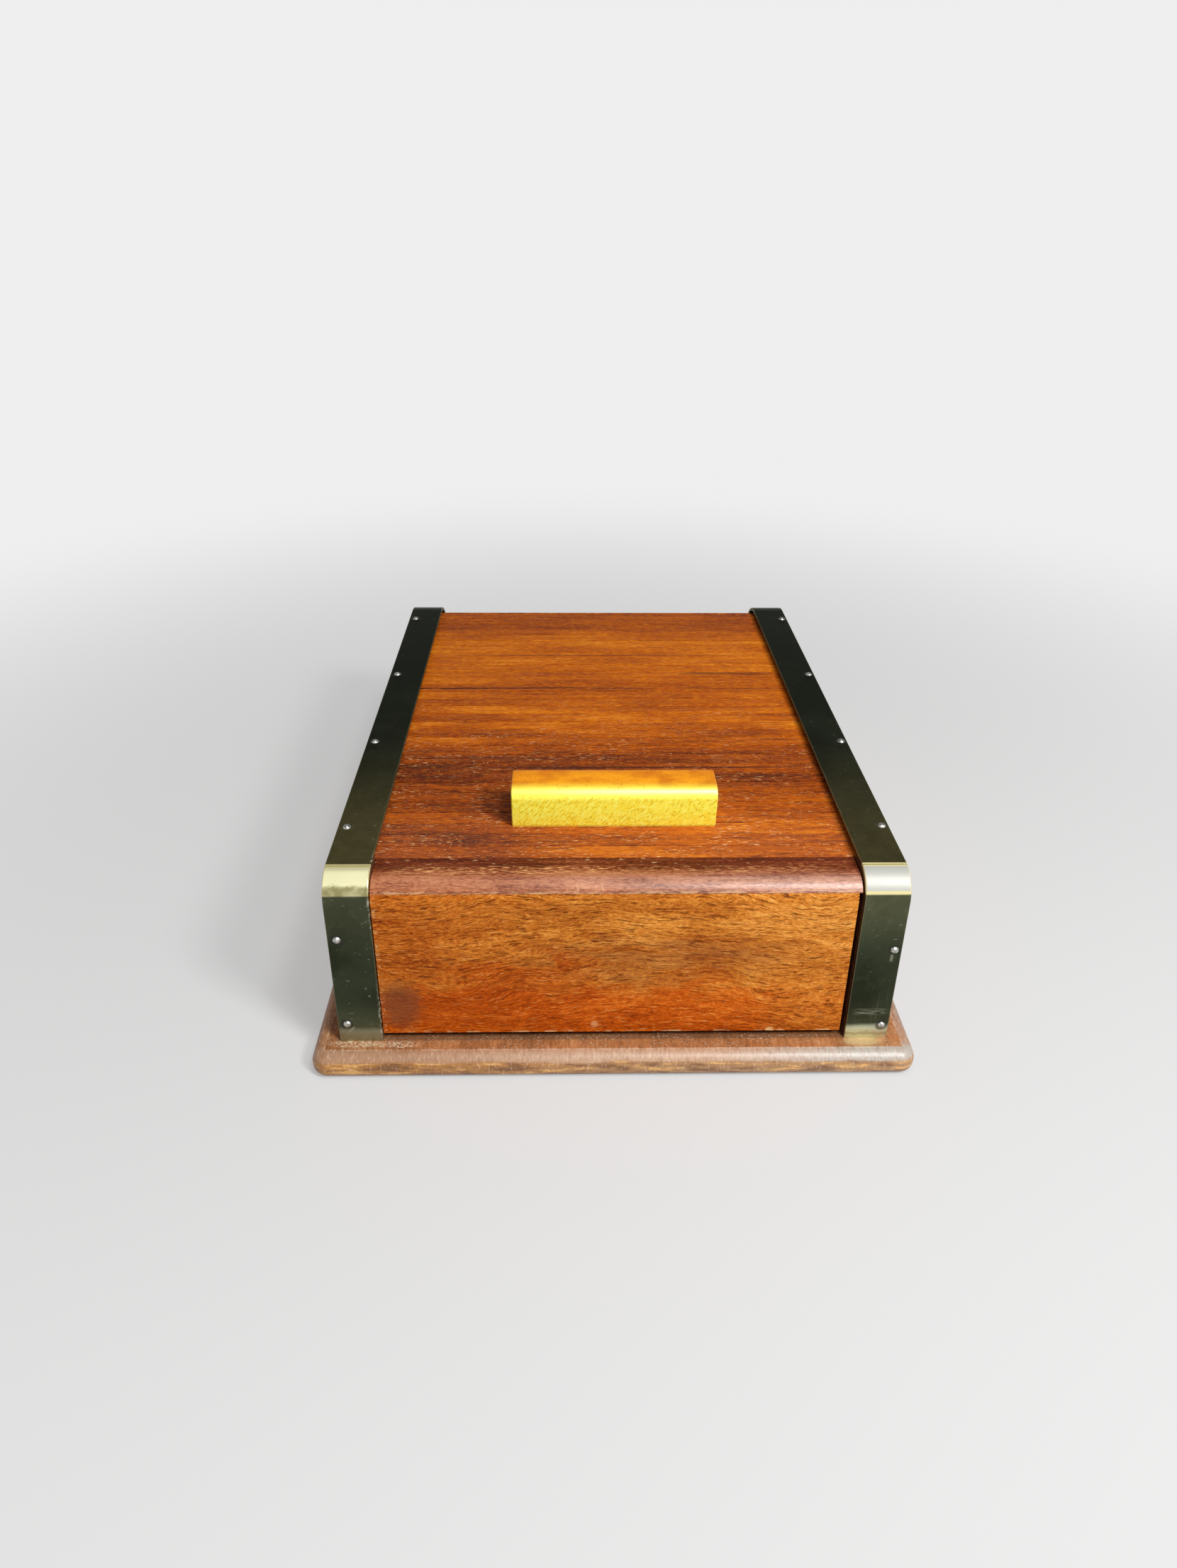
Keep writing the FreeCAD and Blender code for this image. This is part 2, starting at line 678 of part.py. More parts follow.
def make_curtain():
    pitch = number("slat_pitch")
    front_count = int(number("front_slats"))
    flat_count = int(number("flat_slats"))
    drop = number("upper_bend_middle - lower_bend_middle")
    down_length = number("bend_middle - seam") + math.pi * number("bend_round") + drop
    down_count = math.ceil(down_length / pitch)
    whole_count = int((down_length + number("bend_middle - drawer_rear")) / pitch)
    handle_slat = int(number("handle_front + handle_width / 2 - seam") / pitch)

    screw_line = f"seam + {handle_slat + 0.5} * slat_pitch"
    places = []
    for sign in (-1, 1):
        places.append(((f"{sign} * handle_screw_spacing / 2", screw_line, "slat_low"), UPWARD))
    holes = screw_set("handle_screws", "handle_screw", places)
    make_handle(holes)

    for index in range(front_count):
        label = f"slat_{index + 1:02d}"
        shift = {"x": "-slat_reach", "y": f"seam + {index} * slat_pitch", "z": "slat_low + slat_arris"}
        if index == handle_slat:
            drilled(label, slat_body(label + "_blank", shift), holes)
        else:
            keep(label, slat_body(label, shift))
    pattern = slat_body("slat_pattern", {"x": "0"})
    doc.recompute()
    slat_group("rear_slats", pattern, range(front_count, flat_count))
    slat_group("back_slats", pattern, range(flat_count, down_count))
    slat_group("under_slats", pattern, range(down_count, whole_count))

    parting, flat_end = f"seam + {front_count} * slat_pitch", f"seam + {flat_count} * slat_pitch"
    flat_cloth("curtain_cloth", "seam + slat_joint", f"{parting} - slat_joint")
    flat_cloth("rear_cloth", parting, flat_end)
    make_back_cloth(number(flat_end))


def flat_cloth(label, front, rear):
    """Cloth glued under a flat run of slats."""
    low = ("-cloth_half_width", front, "slat_low - cloth_thick")
    high = ("cloth_half_width", rear, "slat_low")
    keep(label, block(label, low, high))


def make_back_cloth(start):
    """Cloth behind the slats that bend: round the back and under the case to the drawer."""
    thick, half = number("cloth_thick"), number("cloth_half_width")
    end = number("drawer_rear + slat_joint")
    outer = cloth_line(start, end, 0.0)
    inner = cloth_line(start, end, thick)
    first = Part.LineSegment(inner[0].StartPoint, outer[0].StartPoint)
    last = Part.LineSegment(outer[-1].EndPoint, inner[-1].EndPoint)
    edges = [curve.toShape() for curve in (first, *outer, last, *inner)]
    face = Part.Face(Part.Wire(Part.__sortEdges__(edges)))
    item = doc.addObject("Part::Feature", "back_cloth")
    item.Shape = face.extrude(Vector(2 * half, 0, 0))
    item.Placement = Placement(Vector(-half, 0, 0), Rotation())
    keep("back_cloth", item)


def cloth_line(start, end, inset):
    """Lines and arcs of the curtain's path, this far inside the slats' inner faces."""
    top, low = number("slat_low") - inset, number("floor_line") + inset
    middle, radius = number("bend_middle"), number("bend_round") - inset
    rear = middle + radius
    upper, lower = number("upper_bend_middle"), number("lower_bend_middle")
    slant = radius * math.sqrt(0.5)

    def at(along, up):
        return Vector(0, along, up)

    return [
        Part.LineSegment(at(start, top), at(middle, top)),
        Part.Arc(at(middle, top), at(middle + slant, upper + slant), at(rear, upper)),
        Part.LineSegment(at(rear, upper), at(rear, lower)),
        Part.Arc(at(rear, lower), at(middle + slant, lower - slant), at(middle, low)),
        Part.LineSegment(at(middle, low), at(end, low)),
    ]


def make_handle(holes):
    """Pale block with undercut faces, a rounded top and eased ends."""
    body, pad = padded("handle_block", "YZ_Plane", [
        ("handle_front + handle_undercut", "slat_top", None),
        ("handle_rear - handle_undercut", "slat_top", None),
        ("handle_rear", "handle_top", None),
        ("handle_front", "handle_top", None),
    ], "handle_length", {"x": "-handle_length / 2"})
    doc.recompute()
    top = number("handle_top")
    length = number("handle_length")
    long_edges = []
    for index, edge in enumerate(pad.Shape.Edges, start=1):
        if abs(edge.CenterOfMass.z - top) < SAME and abs(edge.Length - length) < SAME:
            long_edges.append(f"Edge{index}")
    rounded = rounded_edges(body, pad, long_edges, "handle_round")
    ends = []
    for index, face in enumerate(rounded.Shape.Faces, start=1):
        if abs(abs(face.normalAt(0, 0).x) - 1) < SAME:
            ends.append(f"Face{index}")
    rounded_edges(body, rounded, ends, "handle_arris")
    drilled("handle", body, holes)


def check_pieces():
    """Stop before writing if anything in the document failed or a sub-part has no sound shape."""
    doc.recompute()
    failed = [item.Label for item in doc.Objects if {"Invalid", "Error"} & set(item.State)]
    for label, item in pieces.items():
        if item.Shape.isNull() or not item.Shape.isValid() or not item.Shape.Solids:
            failed.append(label)
    if failed:
        raise RuntimeError("failed: " + ", ".join(failed))


def write_pieces():
    os.makedirs("parts", exist_ok=True)
    for label, item in pieces.items():
        item.Shape.exportStep(f"parts/{label}.step")
        print(f"{label}: {len(item.Shape.Solids)} solids, {item.Shape.Volume:.1f} mm3")


fill_sheet()
plinth_holes = make_plinth()
for side, sign in SIDES:
    make_side(side, sign, plinth_holes)
make_runners()
make_back_board()
housing = make_housing()
make_drawer_front(housing)
make_drawer_box(housing, make_end_bar())
make_curtain()
check_pieces()
write_pieces()
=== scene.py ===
"""Dresses the brass-bound roll-top drawer box: smooth pieces, polished woods, aged brass, light and camera.

Shapes are drawn in millimetres in the frame of the solids and scaled to metres when a piece is finished.
"""

import math
import random

import bmesh
import bpy
from mathutils import Matrix, Vector


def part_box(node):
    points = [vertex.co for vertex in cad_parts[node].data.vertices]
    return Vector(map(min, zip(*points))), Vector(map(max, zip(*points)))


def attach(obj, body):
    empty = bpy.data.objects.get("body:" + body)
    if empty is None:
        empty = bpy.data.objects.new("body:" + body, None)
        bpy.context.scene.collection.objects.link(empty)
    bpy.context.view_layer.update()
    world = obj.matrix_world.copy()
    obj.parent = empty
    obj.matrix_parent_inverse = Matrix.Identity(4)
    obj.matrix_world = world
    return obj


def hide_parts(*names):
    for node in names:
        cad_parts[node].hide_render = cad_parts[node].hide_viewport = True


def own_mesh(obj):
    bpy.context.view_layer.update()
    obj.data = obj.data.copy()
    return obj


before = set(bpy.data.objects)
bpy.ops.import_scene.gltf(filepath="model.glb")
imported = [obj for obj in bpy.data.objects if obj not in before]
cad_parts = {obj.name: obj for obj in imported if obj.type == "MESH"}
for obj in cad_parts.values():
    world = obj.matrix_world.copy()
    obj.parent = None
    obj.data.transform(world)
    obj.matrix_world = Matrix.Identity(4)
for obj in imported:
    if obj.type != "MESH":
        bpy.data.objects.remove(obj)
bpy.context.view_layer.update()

MM = 0.001
QUARTER_TURN = math.pi / 2
SMOOTH_ANGLE = math.radians(35)
CHANCE = random.Random(11)


def corners(node):
    """Lowest and highest corners of a solid in millimetres."""
    low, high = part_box(node)
    return Vector(low) / MM, Vector(high) / MM


# rounds and thicknesses that the solids' boxes don't give
PLINTH_CORNER = 5.0
PLINTH_TOP_ROUND = 4.0
PLINTH_UNDER_ROUND = 2.9
SCREW_STAND = 0.04
STRIP_THICK = 1.2
STRIP_ARRIS = 0.3
FRONT_BEND = 8.2
REAR_BEND = 19.0
PANEL_FRONT_ROUND = FRONT_BEND - STRIP_THICK
PANEL_REAR_ROUND = REAR_BEND - STRIP_THICK
NOSING_ROUND = 6.0
HANDLE_UNDERCUT = 1.0
HANDLE_ROUND = 3.5
HANDLE_ARRIS = 0.5
PANEL_ARRIS = 0.35
FRONT_ARRIS = 0.15

# what the crown's rounds take off each of the handle's leaning faces
HANDLE_SWELL = 0.28

# turn between two faces, in radians, from which their edge is sharp
SHARP_CORNER = 1.0

# where the case's faces are
PLINTH_TOP = corners("plinth")[1].z
CASE_FRONT = corners("right_brass_strip")[0].y
CASE_TOP = corners("right_brass_strip")[1].z
CASE_HEIGHT = CASE_TOP - PLINTH_TOP
CASE_HALF_WIDTH = corners("right_brass_strip")[1].x
STRIP_HALF_WIDTH = (CASE_HALF_WIDTH - corners("right_brass_strip")[0].x) / 2
STRIP_MIDDLE = CASE_HALF_WIDTH - STRIP_HALF_WIDTH
FRONT_FACE = corners("drawer_front")[0].y

# pins in the strips: heights are above the plinth's top, distances along the top are from the middle
PIN_HEAD_RADIUS = 1.2
PIN_HEAD_HEIGHT = 0.8
PIN_SHANK_RADIUS = 0.6
PIN_SHANK_LENGTH = 6.0
TOP_PINS = (-86.3, -31.3, 25.2, 84.7)
FRONT_PINS = {"left": (6.4, 36.9), "right": (4.8, 32.5)}
REAR_PINS = (6.0, 30.0)

# the curtain's path, along the inner faces of its slats
SLAT_PITCH = 6.35
SLAT_JOINT = 0.25
SLAT_ARRIS = 0.22
SLAT_LOW = corners("slat_01")[0].z
SLAT_THICK = corners("slat_01")[1].z - SLAT_LOW
SLAT_REACH = corners("slat_01")[1].x
SEAM = corners("slat_01")[0].y - SLAT_JOINT / 2
BEND_ROUND = 13.3
BEND_MIDDLE = 95.3
FLOOR_LINE = corners("under_slats")[1].z
BACK_DROP = SLAT_LOW - FLOOR_LINE - 2 * BEND_ROUND
FRONT_SLATS = 14
REAR_SLATS = 16
BACK_SLATS = 11
UNDER_SLATS = 4
CLOTH_HALF_WIDTH = 67.5
CLOTH_THICK = 0.5
CANVAS_THREAD = 0.9

# how far a slat may lie too high or too low, and how many degrees it may lean
SLAT_LIFT = 0.03
SLAT_TILT = 0.35

# camera fitted to the photograph: its place is from the middle of the plinth's top, its angles in degrees
CAMERA_PLACE = (-14.34, -362.18, 225.18)
CAMERA_TURN = 1.358
CAMERA_DIP = 29.181
CAMERA_LEAN = 0.555
CAMERA_LENS = 25.26
SENSOR_LONG_SIDE = 36.0

# lamps in metres: name, place, what it points at, width, length and watts
LAMPS = (
    ("key_lamp", (0.40, -0.52, 0.58), (0, -0.03, 0.04), 0.16, 0.16, 4.7),
    ("window_panel", (0.23, -0.45, 0.78), (0, -0.08, 0.04), 0.14, 0.09, 2.6),
    ("overhead_panel", (0.0, -0.30, 0.95), (0, -0.05, 0), 0.75, 1.15, 2.2),
)
FLOOR_RADIUS = 7.0


def pin_line(side):
    """How far to the right of the middle a strip's row of pins is."""
    low, high = corners(f"{side}_strip_pins")
    return (low.x + high.x) / 2


class Amount:
    """A number that changes over a surface: one socket that takes part in Python's sums."""

    def __init__(self, recipe, socket):
        self.recipe = recipe
        self.socket = socket

    def sum_of(self, operation, first, second):
        node = self.recipe.node("ShaderNodeMath", {"operation": operation}, {0: first, 1: second})
        return Amount(self.recipe, node.outputs[0])

    def __add__(self, other):
        return self.sum_of("ADD", self, other)

    def __radd__(self, other):
        return self.sum_of("ADD", other, self)

    def __sub__(self, other):
        return self.sum_of("SUBTRACT", self, other)

    def __rsub__(self, other):
        return self.sum_of("SUBTRACT", other, self)

    def __mul__(self, other):
        return self.sum_of("MULTIPLY", self, other)

    def __rmul__(self, other):
        return self.sum_of("MULTIPLY", other, self)

    def __truediv__(self, other):
        return self.sum_of("DIVIDE", self, other)

    def __abs__(self):
        return self.sum_of("ABSOLUTE", self, 0.0)

    def __pow__(self, other):
        return self.sum_of("POWER", self, other)

    def whole(self):
        return self.sum_of("FLOOR", self, 0.0)

    def wave(self):
        return self.sum_of("SINE", self, 0.0)

    def larger(self, other):
        return self.sum_of("MAXIMUM", self, other)

    def smaller(self, other):
        return self.sum_of("MINIMUM", self, other)

    def ease(self, low, high):
        """0 at low and 1 at high, smooth between them; low may be the larger."""
        node = self.recipe.node(
            "ShaderNodeMapRange",
            {"interpolation_type": "SMOOTHSTEP"},
            {"Value": self, "From Min": low, "From Max": high},
        )
        return Amount(self.recipe, node.outputs["Result"])

    def between(self, low, high, soft):
        """1 between low and high, fading out over soft on each side."""
        return self.ease(low - soft, low + soft) * self.ease(high + soft, high - soft)


class Recipe:
    """A node tree that is written as sums and named steps."""

    def __init__(self, tree):
        self.tree = tree
        tree.nodes.clear()

    def node(self, kind, settings, sockets):
        made = self.tree.nodes.new(kind)
        for name, value in settings.items():
            if name == "stops":
                self.set_stops(made.color_ramp.elements, value)
            else:
                setattr(made, name, value)
        for name, value in sockets.items():
            socket = made.inputs[name]
            if isinstance(value, Amount):
                self.tree.links.new(value.socket, socket)
            elif isinstance(value, bpy.types.NodeSocket):
                self.tree.links.new(value, socket)
            else:
                socket.default_value = value
        return made

    def set_stops(self, elements, stops):
        while len(elements) < len(stops):
            elements.new(1.0)
        for element, (position, colour) in zip(elements, stops):
            element.position = position
            element.color = colour

    def ramp(self, amount, stops):
        """A colour for each level of an amount."""
        return self.node("ShaderNodeValToRGB", {"stops": stops}, {0: amount}).outputs[0]

    def parts(self, vector):
        made = self.node("ShaderNodeSeparateXYZ", {}, {0: vector})
        return [Amount(self, socket) for socket in made.outputs]

    def joined(self, x, y, z):
        return self.node("ShaderNodeCombineXYZ", {}, {0: x, 1: y, 2: z}).outputs[0]

    def blend(self, amount, first, second, mode="MIX"):
        """The first colour, with this amount of the second over it."""
        made = self.node(
            "ShaderNodeMix",
            {"data_type": "RGBA", "blend_type": mode, "clamp_factor": True},
            {0: amount, 6: first, 7: second},
        )
        return made.outputs[2]

    def noise(self, place, sizes, detail=2.0, rough=0.5, bend=0.0, shift=0.0):
        """Cloudy noise whose features have about these sizes in millimetres."""
        scaled = self.node(
            "ShaderNodeVectorMath",
            {"operation": "MULTIPLY_ADD"},
            {0: place, 1: [1 / size for size in sizes], 2: (shift, shift * 1.7, shift * 2.3)},
        )
        made = self.node(
            "ShaderNodeTexNoise",
            {"noise_dimensions": "3D"},
            {
                "Vector": scaled.outputs[0],
                "Scale": 1.0,
                "Detail": detail,
                "Roughness": rough,
                "Distortion": bend,
            },
        )
        return Amount(self, made.outputs[0])

    def chance(self, number):
        """A fixed random number from 0 to 1 for each value of a number."""
        made = self.node("ShaderNodeTexWhiteNoise", {"noise_dimensions": "1D"}, {"W": number})
        return Amount(self, made.outputs[0])

    def patch(self, across, up, middle, size):
        """1 in the middle of an oval patch and 0 at its edge."""
        x = (across - middle[0]) / size[0]
        y = (up - middle[1]) / size[1]
        return (x * x + y * y).ease(1.0, 0.1)

    def reach(self, place, point):
        """Distance in millimetres from a point."""
        made = self.node("ShaderNodeVectorMath", {"operation": "DISTANCE"}, {0: place, 1: point})
        return Amount(self, made.outputs["Value"])


class Finish(Recipe):
    """A material for one of the box's surfaces, whose colour is laid on in coats."""

    def __init__(self, name):
        self.colour = None
        self.material = bpy.data.materials.new(name)
        self.material.use_nodes = True
        super().__init__(self.material.node_tree)

    def place(self):
        """Where a point is, in millimetres from the middle of the plinth's top."""
        made = self.node(
            "ShaderNodeVectorMath",
            {"operation": "MULTIPLY_ADD"},
            {
                0: self.node("ShaderNodeTexCoord", {}, {}).outputs["Object"],
                1: (1 / MM, 1 / MM, 1 / MM),
                2: (0, 0, -PLINTH_TOP),
            },
        )
        return made.outputs[0]

    def carried(self, name):
        """A place that the mesh itself carries, in millimetres."""
        made = self.node("ShaderNodeAttribute", {"attribute_name": name}, {})
        return made.outputs["Vector"]

    def paint(self, amount, colour, mode="MIX"):
        """Lays this amount of a colour over the colour so far."""
        self.colour = self.blend(amount, self.colour, colour, mode)

    def surface(self, sockets, height):
        """Closes the material; height is a bump in millimetres."""
        bump = self.node("ShaderNodeBump", {}, {"Height": height, "Distance": MM, "Strength": 1.0})
        sockets = {"Base Color": self.colour, **sockets, "Normal": bump.outputs[0]}
        shader = self.node("ShaderNodeBsdfPrincipled", {}, sockets)
        self.node("ShaderNodeOutputMaterial", {}, {"Surface": shader.outputs[0]})
        return self.material

    def polished(self, height, polish, shine, rough, index):
        """Closes a material that is dull under its polish; rough and index are the polish's."""
        sockets = {
            "Roughness": 0.5,
            "Specular IOR Level": shine,
            "Coat Weight": polish,
            "Coat Roughness": rough,
            "Coat IOR": index,
        }
        return self.surface(sockets, height)


def tone(red, green, blue):
    return red, green, blue, 1.0


def seen_directly(recipe):
    """1 for what the camera sees, also in metal and glass, and 0 for light that falls on the box."""
    path = recipe.node("ShaderNodeLightPath", {}, {})
    seen = Amount(recipe, path.outputs["Is Camera Ray"])
    seen = seen.larger(Amount(recipe, path.outputs["Is Glossy Ray"]))
    return seen.larger(Amount(recipe, path.outputs["Is Transmission Ray"]))


PALE = tone(0.86, 0.86, 0.86)
SHADE_OVERHEAD = tone(0.20, 0.20, 0.21)
ROOM_LIGHT = tone(0.18, 0.18, 0.18)

# tones of the woods from dark to light
SLAT_TONES = (
    (0.0, tone(0.060, 0.012, 0.004)),
    (0.25, tone(0.21, 0.036, 0.004)),
    (0.5, tone(0.40, 0.078, 0.003)),
    (0.72, tone(0.57, 0.140, 0.003)),
    (1.0, tone(0.80, 0.30, 0.022)),
)
FRONT_GOLD_TONES = (
    (0.0, tone(0.13, 0.022, 0.002)),
    (0.3, tone(0.30, 0.064, 0.005)),
    (0.5, tone(0.43, 0.124, 0.012)),
    (0.72, tone(0.59, 0.205, 0.026)),
    (1.0, tone(0.84, 0.40, 0.085)),
)
FRONT_RED_TONES = (
    (0.0, tone(0.13, 0.015, 0.001)),
    (0.3, tone(0.30, 0.042, 0.001)),
    (0.5, tone(0.43, 0.068, 0.002)),
    (0.72, tone(0.56, 0.112, 0.006)),
    (1.0, tone(0.74, 0.22, 0.026)),
)
NOSING_TONES = (
    (0.0, tone(0.072, 0.013, 0.004)),
    (0.3, tone(0.165, 0.031, 0.008)),
    (0.6, tone(0.355, 0.112, 0.042)),
    (1.0, tone(0.54, 0.215, 0.095)),
)
PLINTH_TONES = (
    (0.0, tone(0.10, 0.038, 0.014)),
    (0.35, tone(0.26, 0.098, 0.031)),
    (0.6, tone(0.42, 0.172, 0.060)),
    (1.0, tone(0.62, 0.33, 0.14)),
)

# clouds on the front board: middle and half size across and up, and how much lighter each is
FRONT_CLOUDS = (
    ((58, 42), (34, 15), 0.19),
    ((8, 40), (20, 7), 0.14),
    ((-28, 38), (12, 4), 0.10),
    ((10, 14), (34, 8), 0.08),
    ((50, 18), (28, 18), 0.14),
    ((22, 29), (12, 5), -0.16),
    ((-60, 38), (24, 14), -0.05),
)


def slat_finish():
    """Orange-brown slats, each streaked in its own way, gold at the back, dark and dusty by the handle, with
    painted shade and a faint painted sheen.
    """
    wood = Finish("slat_teak")
    across, along, depth = wood.parts(wood.carried("grain"))
    own = wood.chance(((along - SEAM) / SLAT_PITCH).whole())
    place = wood.joined(across + own * 700, along, depth)
    broad = wood.noise(place, (48, 16, 9), shift=3)
    streak = wood.noise(place, (34, 2.3, 3), detail=4, rough=0.62, shift=7)
    line = wood.noise(place, (15, 0.75, 2), rough=0.55, bend=0.15, shift=5)
    grain = wood.noise(place, (2.6, 0.46, 1), detail=3, rough=0.7, shift=1)
    dash = wood.noise(place, (2.6, 0.44, 1), bend=0.3, shift=17)

    gold = along.between(28, 70, 5) * 0.13 + along.between(-22, 4, 6) * broad.ease(0.42, 0.62) * 0.10
    gold = gold + along.ease(-80, -88) * across.ease(-50, 10) * 0.08
    dull = along.between(-64, -30, 8) * 0.20 + along.ease(72, 82) * 0.08 + along.ease(-78, -88) * 0.07
    # painted shade: the front slats darker to the left of the handle
    dull = dull + along.between(-99, -40, 8) * across.ease(0, -45) * 0.17
    level = 0.505 + gold - dull + (broad - 0.5) * 0.60 + (streak - 0.5) * 0.62
    level = level + (grain - 0.5) * 1.25 + (own - 0.5) * 0.10
    wood.colour = wood.ramp(level, SLAT_TONES)

    busy = along.ease(20, -36) * 0.75 + 0.25
    lines = line.ease(0.60, 0.67) * busy * 0.65
    wood.paint(lines, tone(0.066, 0.015, 0.006))
    fibres = dash.ease(0.60, 0.68) * (1 - busy * 0.4) * 0.45
    wood.paint(fibres, tone(0.78, 0.30, 0.030))
    drift = (wood.noise(place, (34, 7, 7), detail=1, shift=21) - 0.5) * 2.2
    broken = wood.noise(place, (12, 9, 9), shift=2).ease(0.30, 0.48)
    crack = (along + drift - 17.8).between(-0.55, 0.55, 0.3) * broken * (0.55 + across.ease(0, -30) * 0.4)
    shade = (along + drift - 31.6).between(-1.4, 1.2, 0.8) * across.between(32, 64, 6)
    far_line = (along + drift - 49.8).between(-0.35, 0.4, 0.3) * across.between(-50, 40, 20)
    behind = (along + drift + 45.2).between(-0.6, 0.5, 0.35) * across.between(-38, 50, 12)
    beside = (along + drift + 38.3).between(-0.5, 0.45, 0.3) * across.between(-70, -20, 14)
    mark = crack.larger(shade * 0.6).larger(far_line * 0.55).larger(behind * 0.85).larger(beside * 0.7)
    wood.paint(mark, tone(0.062, 0.014, 0.006))

    face = depth.ease(0.35, 0.12)
    dusty = along.ease(26, -44) * 0.70 + along.ease(-70, -90) * 0.30 + 0.15
    patch = wood.noise(place, (20, 8, 7), shift=13).ease(0.40, 0.58)
    dust = dash.ease(0.39, 0.33) * patch * dusty
    specks = wood.noise(place, (0.7, 0.7, 1), detail=1, shift=27).ease(0.70, 0.76) * dusty
    dust = dust.larger(specks * 0.8) * face
    wood.paint(dust * 0.72, tone(0.90, 0.51, 0.225))
    # a faint pale film over the front slats, partly painted sheen
    film_and_sheen = along.ease(-66, -92) * face * 0.03
    wood.paint(film_and_sheen, tone(0.60, 0.42, 0.34))
    # painted shade: the slats' sides darker the deeper they go between the slats
    wood.paint(depth.ease(0.15, 0.9) * 0.8, tone(0.07, 0.018, 0.008))

    height = grain * 0.08 - lines * 0.05 + dust * 0.05 + broad * 0.15
    return wood.surface({"Roughness": 0.40 + grain * 0.2 + dust * 0.2, "Specular IOR Level": 0.06}, height)


def front_finish():
    """Front board: gold above, a grey-brown swirl across the middle, redder below, with short dark pores."""
    wood = Finish("front_mahogany")
    place = wood.place()
    across, along, up = wood.parts(place)
    sway = wood.noise(place, (36, 20, 13), detail=3, shift=4)
    ribbon = wood.noise(place, (15, 12, 6), rough=0.6, bend=0.6, shift=8)
    swing = wood.noise(place, (46, 30, 30), detail=1, shift=33)
    flow = wood.joined(across, along, up + (swing - 0.5) * 20 + (ribbon - 0.5) * 3)
    band = wood.noise(flow, (44, 10, 3.0), detail=3, rough=0.6, bend=0.3, shift=12)
    fleck = wood.noise(flow, (1.25, 1.5, 0.36), rough=0.7, bend=0.5, shift=2)
    pores = wood.noise(flow, (3.6, 2, 0.36), rough=0.55, bend=0.25, shift=6)
    gashes = wood.noise(flow, (5.0, 3, 0.48), bend=0.3, shift=26)
    ripple = wood.noise(flow, (1.9, 2, 0.8), detail=1, bend=1.2, shift=22)
    shifted = across + (sway - 0.5) * 26
    rise = up + (ribbon - 0.5) * 16 + (sway - 0.5) * 10

    level = 0.525 + rise.ease(30, 46) * 0.03 - rise.between(19, 33, 5) * 0.04 - rise.ease(22, 12) * 0.04
    for middle, size, lighter in FRONT_CLOUDS:
        level = level + wood.patch(shifted, rise, middle, size) * lighter
    level = level + (ribbon - 0.5) * 0.36 + (band - 0.5) * 0.55
    level = level + (fleck - 0.5) * 1.15 + (ripple - 0.5) * 0.40
    red = rise.ease(25, 14) * across.ease(66, 34).larger(0.35)
    red = red.larger(wood.patch(shifted, rise, (-30, 23), (30, 7)) * 0.7)
    red = red.larger(across.ease(-10, -60) * 0.35)
    wood.colour = wood.blend(red, wood.ramp(level, FRONT_GOLD_TONES), wood.ramp(level, FRONT_RED_TONES))
    grey = wood.patch(shifted, rise, (14, 29), (46, 10)) * band.ease(0.36, 0.60)
    wood.paint(grey * 0.45, tone(0.31, 0.115, 0.030))
    dark = (pores.ease(0.59, 0.65) * 0.70).larger(gashes.ease(0.62, 0.67) * 0.82)
    dark = dark * (0.60 + rise.ease(12, 30).larger(across.ease(20, 50)) * 0.40)
    wood.paint(dark, tone(0.110, 0.016, 0.001))
    wood.paint(pores.ease(0.40, 0.30) * 0.35, tone(0.86, 0.42, 0.110))

    blur = (wood.noise(place, (3, 3, 3), shift=31) - 0.5) * 4
    stain = wood.patch(across + blur, up + blur, (-62.4, 12.6), (7.8, 11.0)) * along.ease(-108, -111)
    wood.paint(stain * 0.72, tone(0.15, 0.046, 0.018))
    chip = (wood.reach(place, (-6.0, FRONT_FACE, 5.2)) + blur * 0.25).ease(1.5, 0.6) * 0.35
    split = (wood.reach(place, (46.0, FRONT_FACE, 2.4)) + blur * 0.3).ease(1.7, 0.7) * 0.8
    worn = up.ease(3.1, 2.5) * wood.noise(place, (5, 4, 4), shift=15).ease(0.50, 0.62)
    lint = across.ease(-66.4, -67.6) * wood.noise(place, (1.2, 2, 1.2), shift=19).ease(0.50, 0.72)
    pale = chip.larger(split).larger(worn * 0.6).larger(lint * 0.5)
    wood.paint(pale, tone(0.74, 0.48, 0.22))

    height = fleck * 0.08 - dark * 0.08 + ripple * 0.08 + sway * 0.3
    return wood.surface({"Roughness": 0.38 + fleck * 0.2, "Specular IOR Level": 0.05}, height)


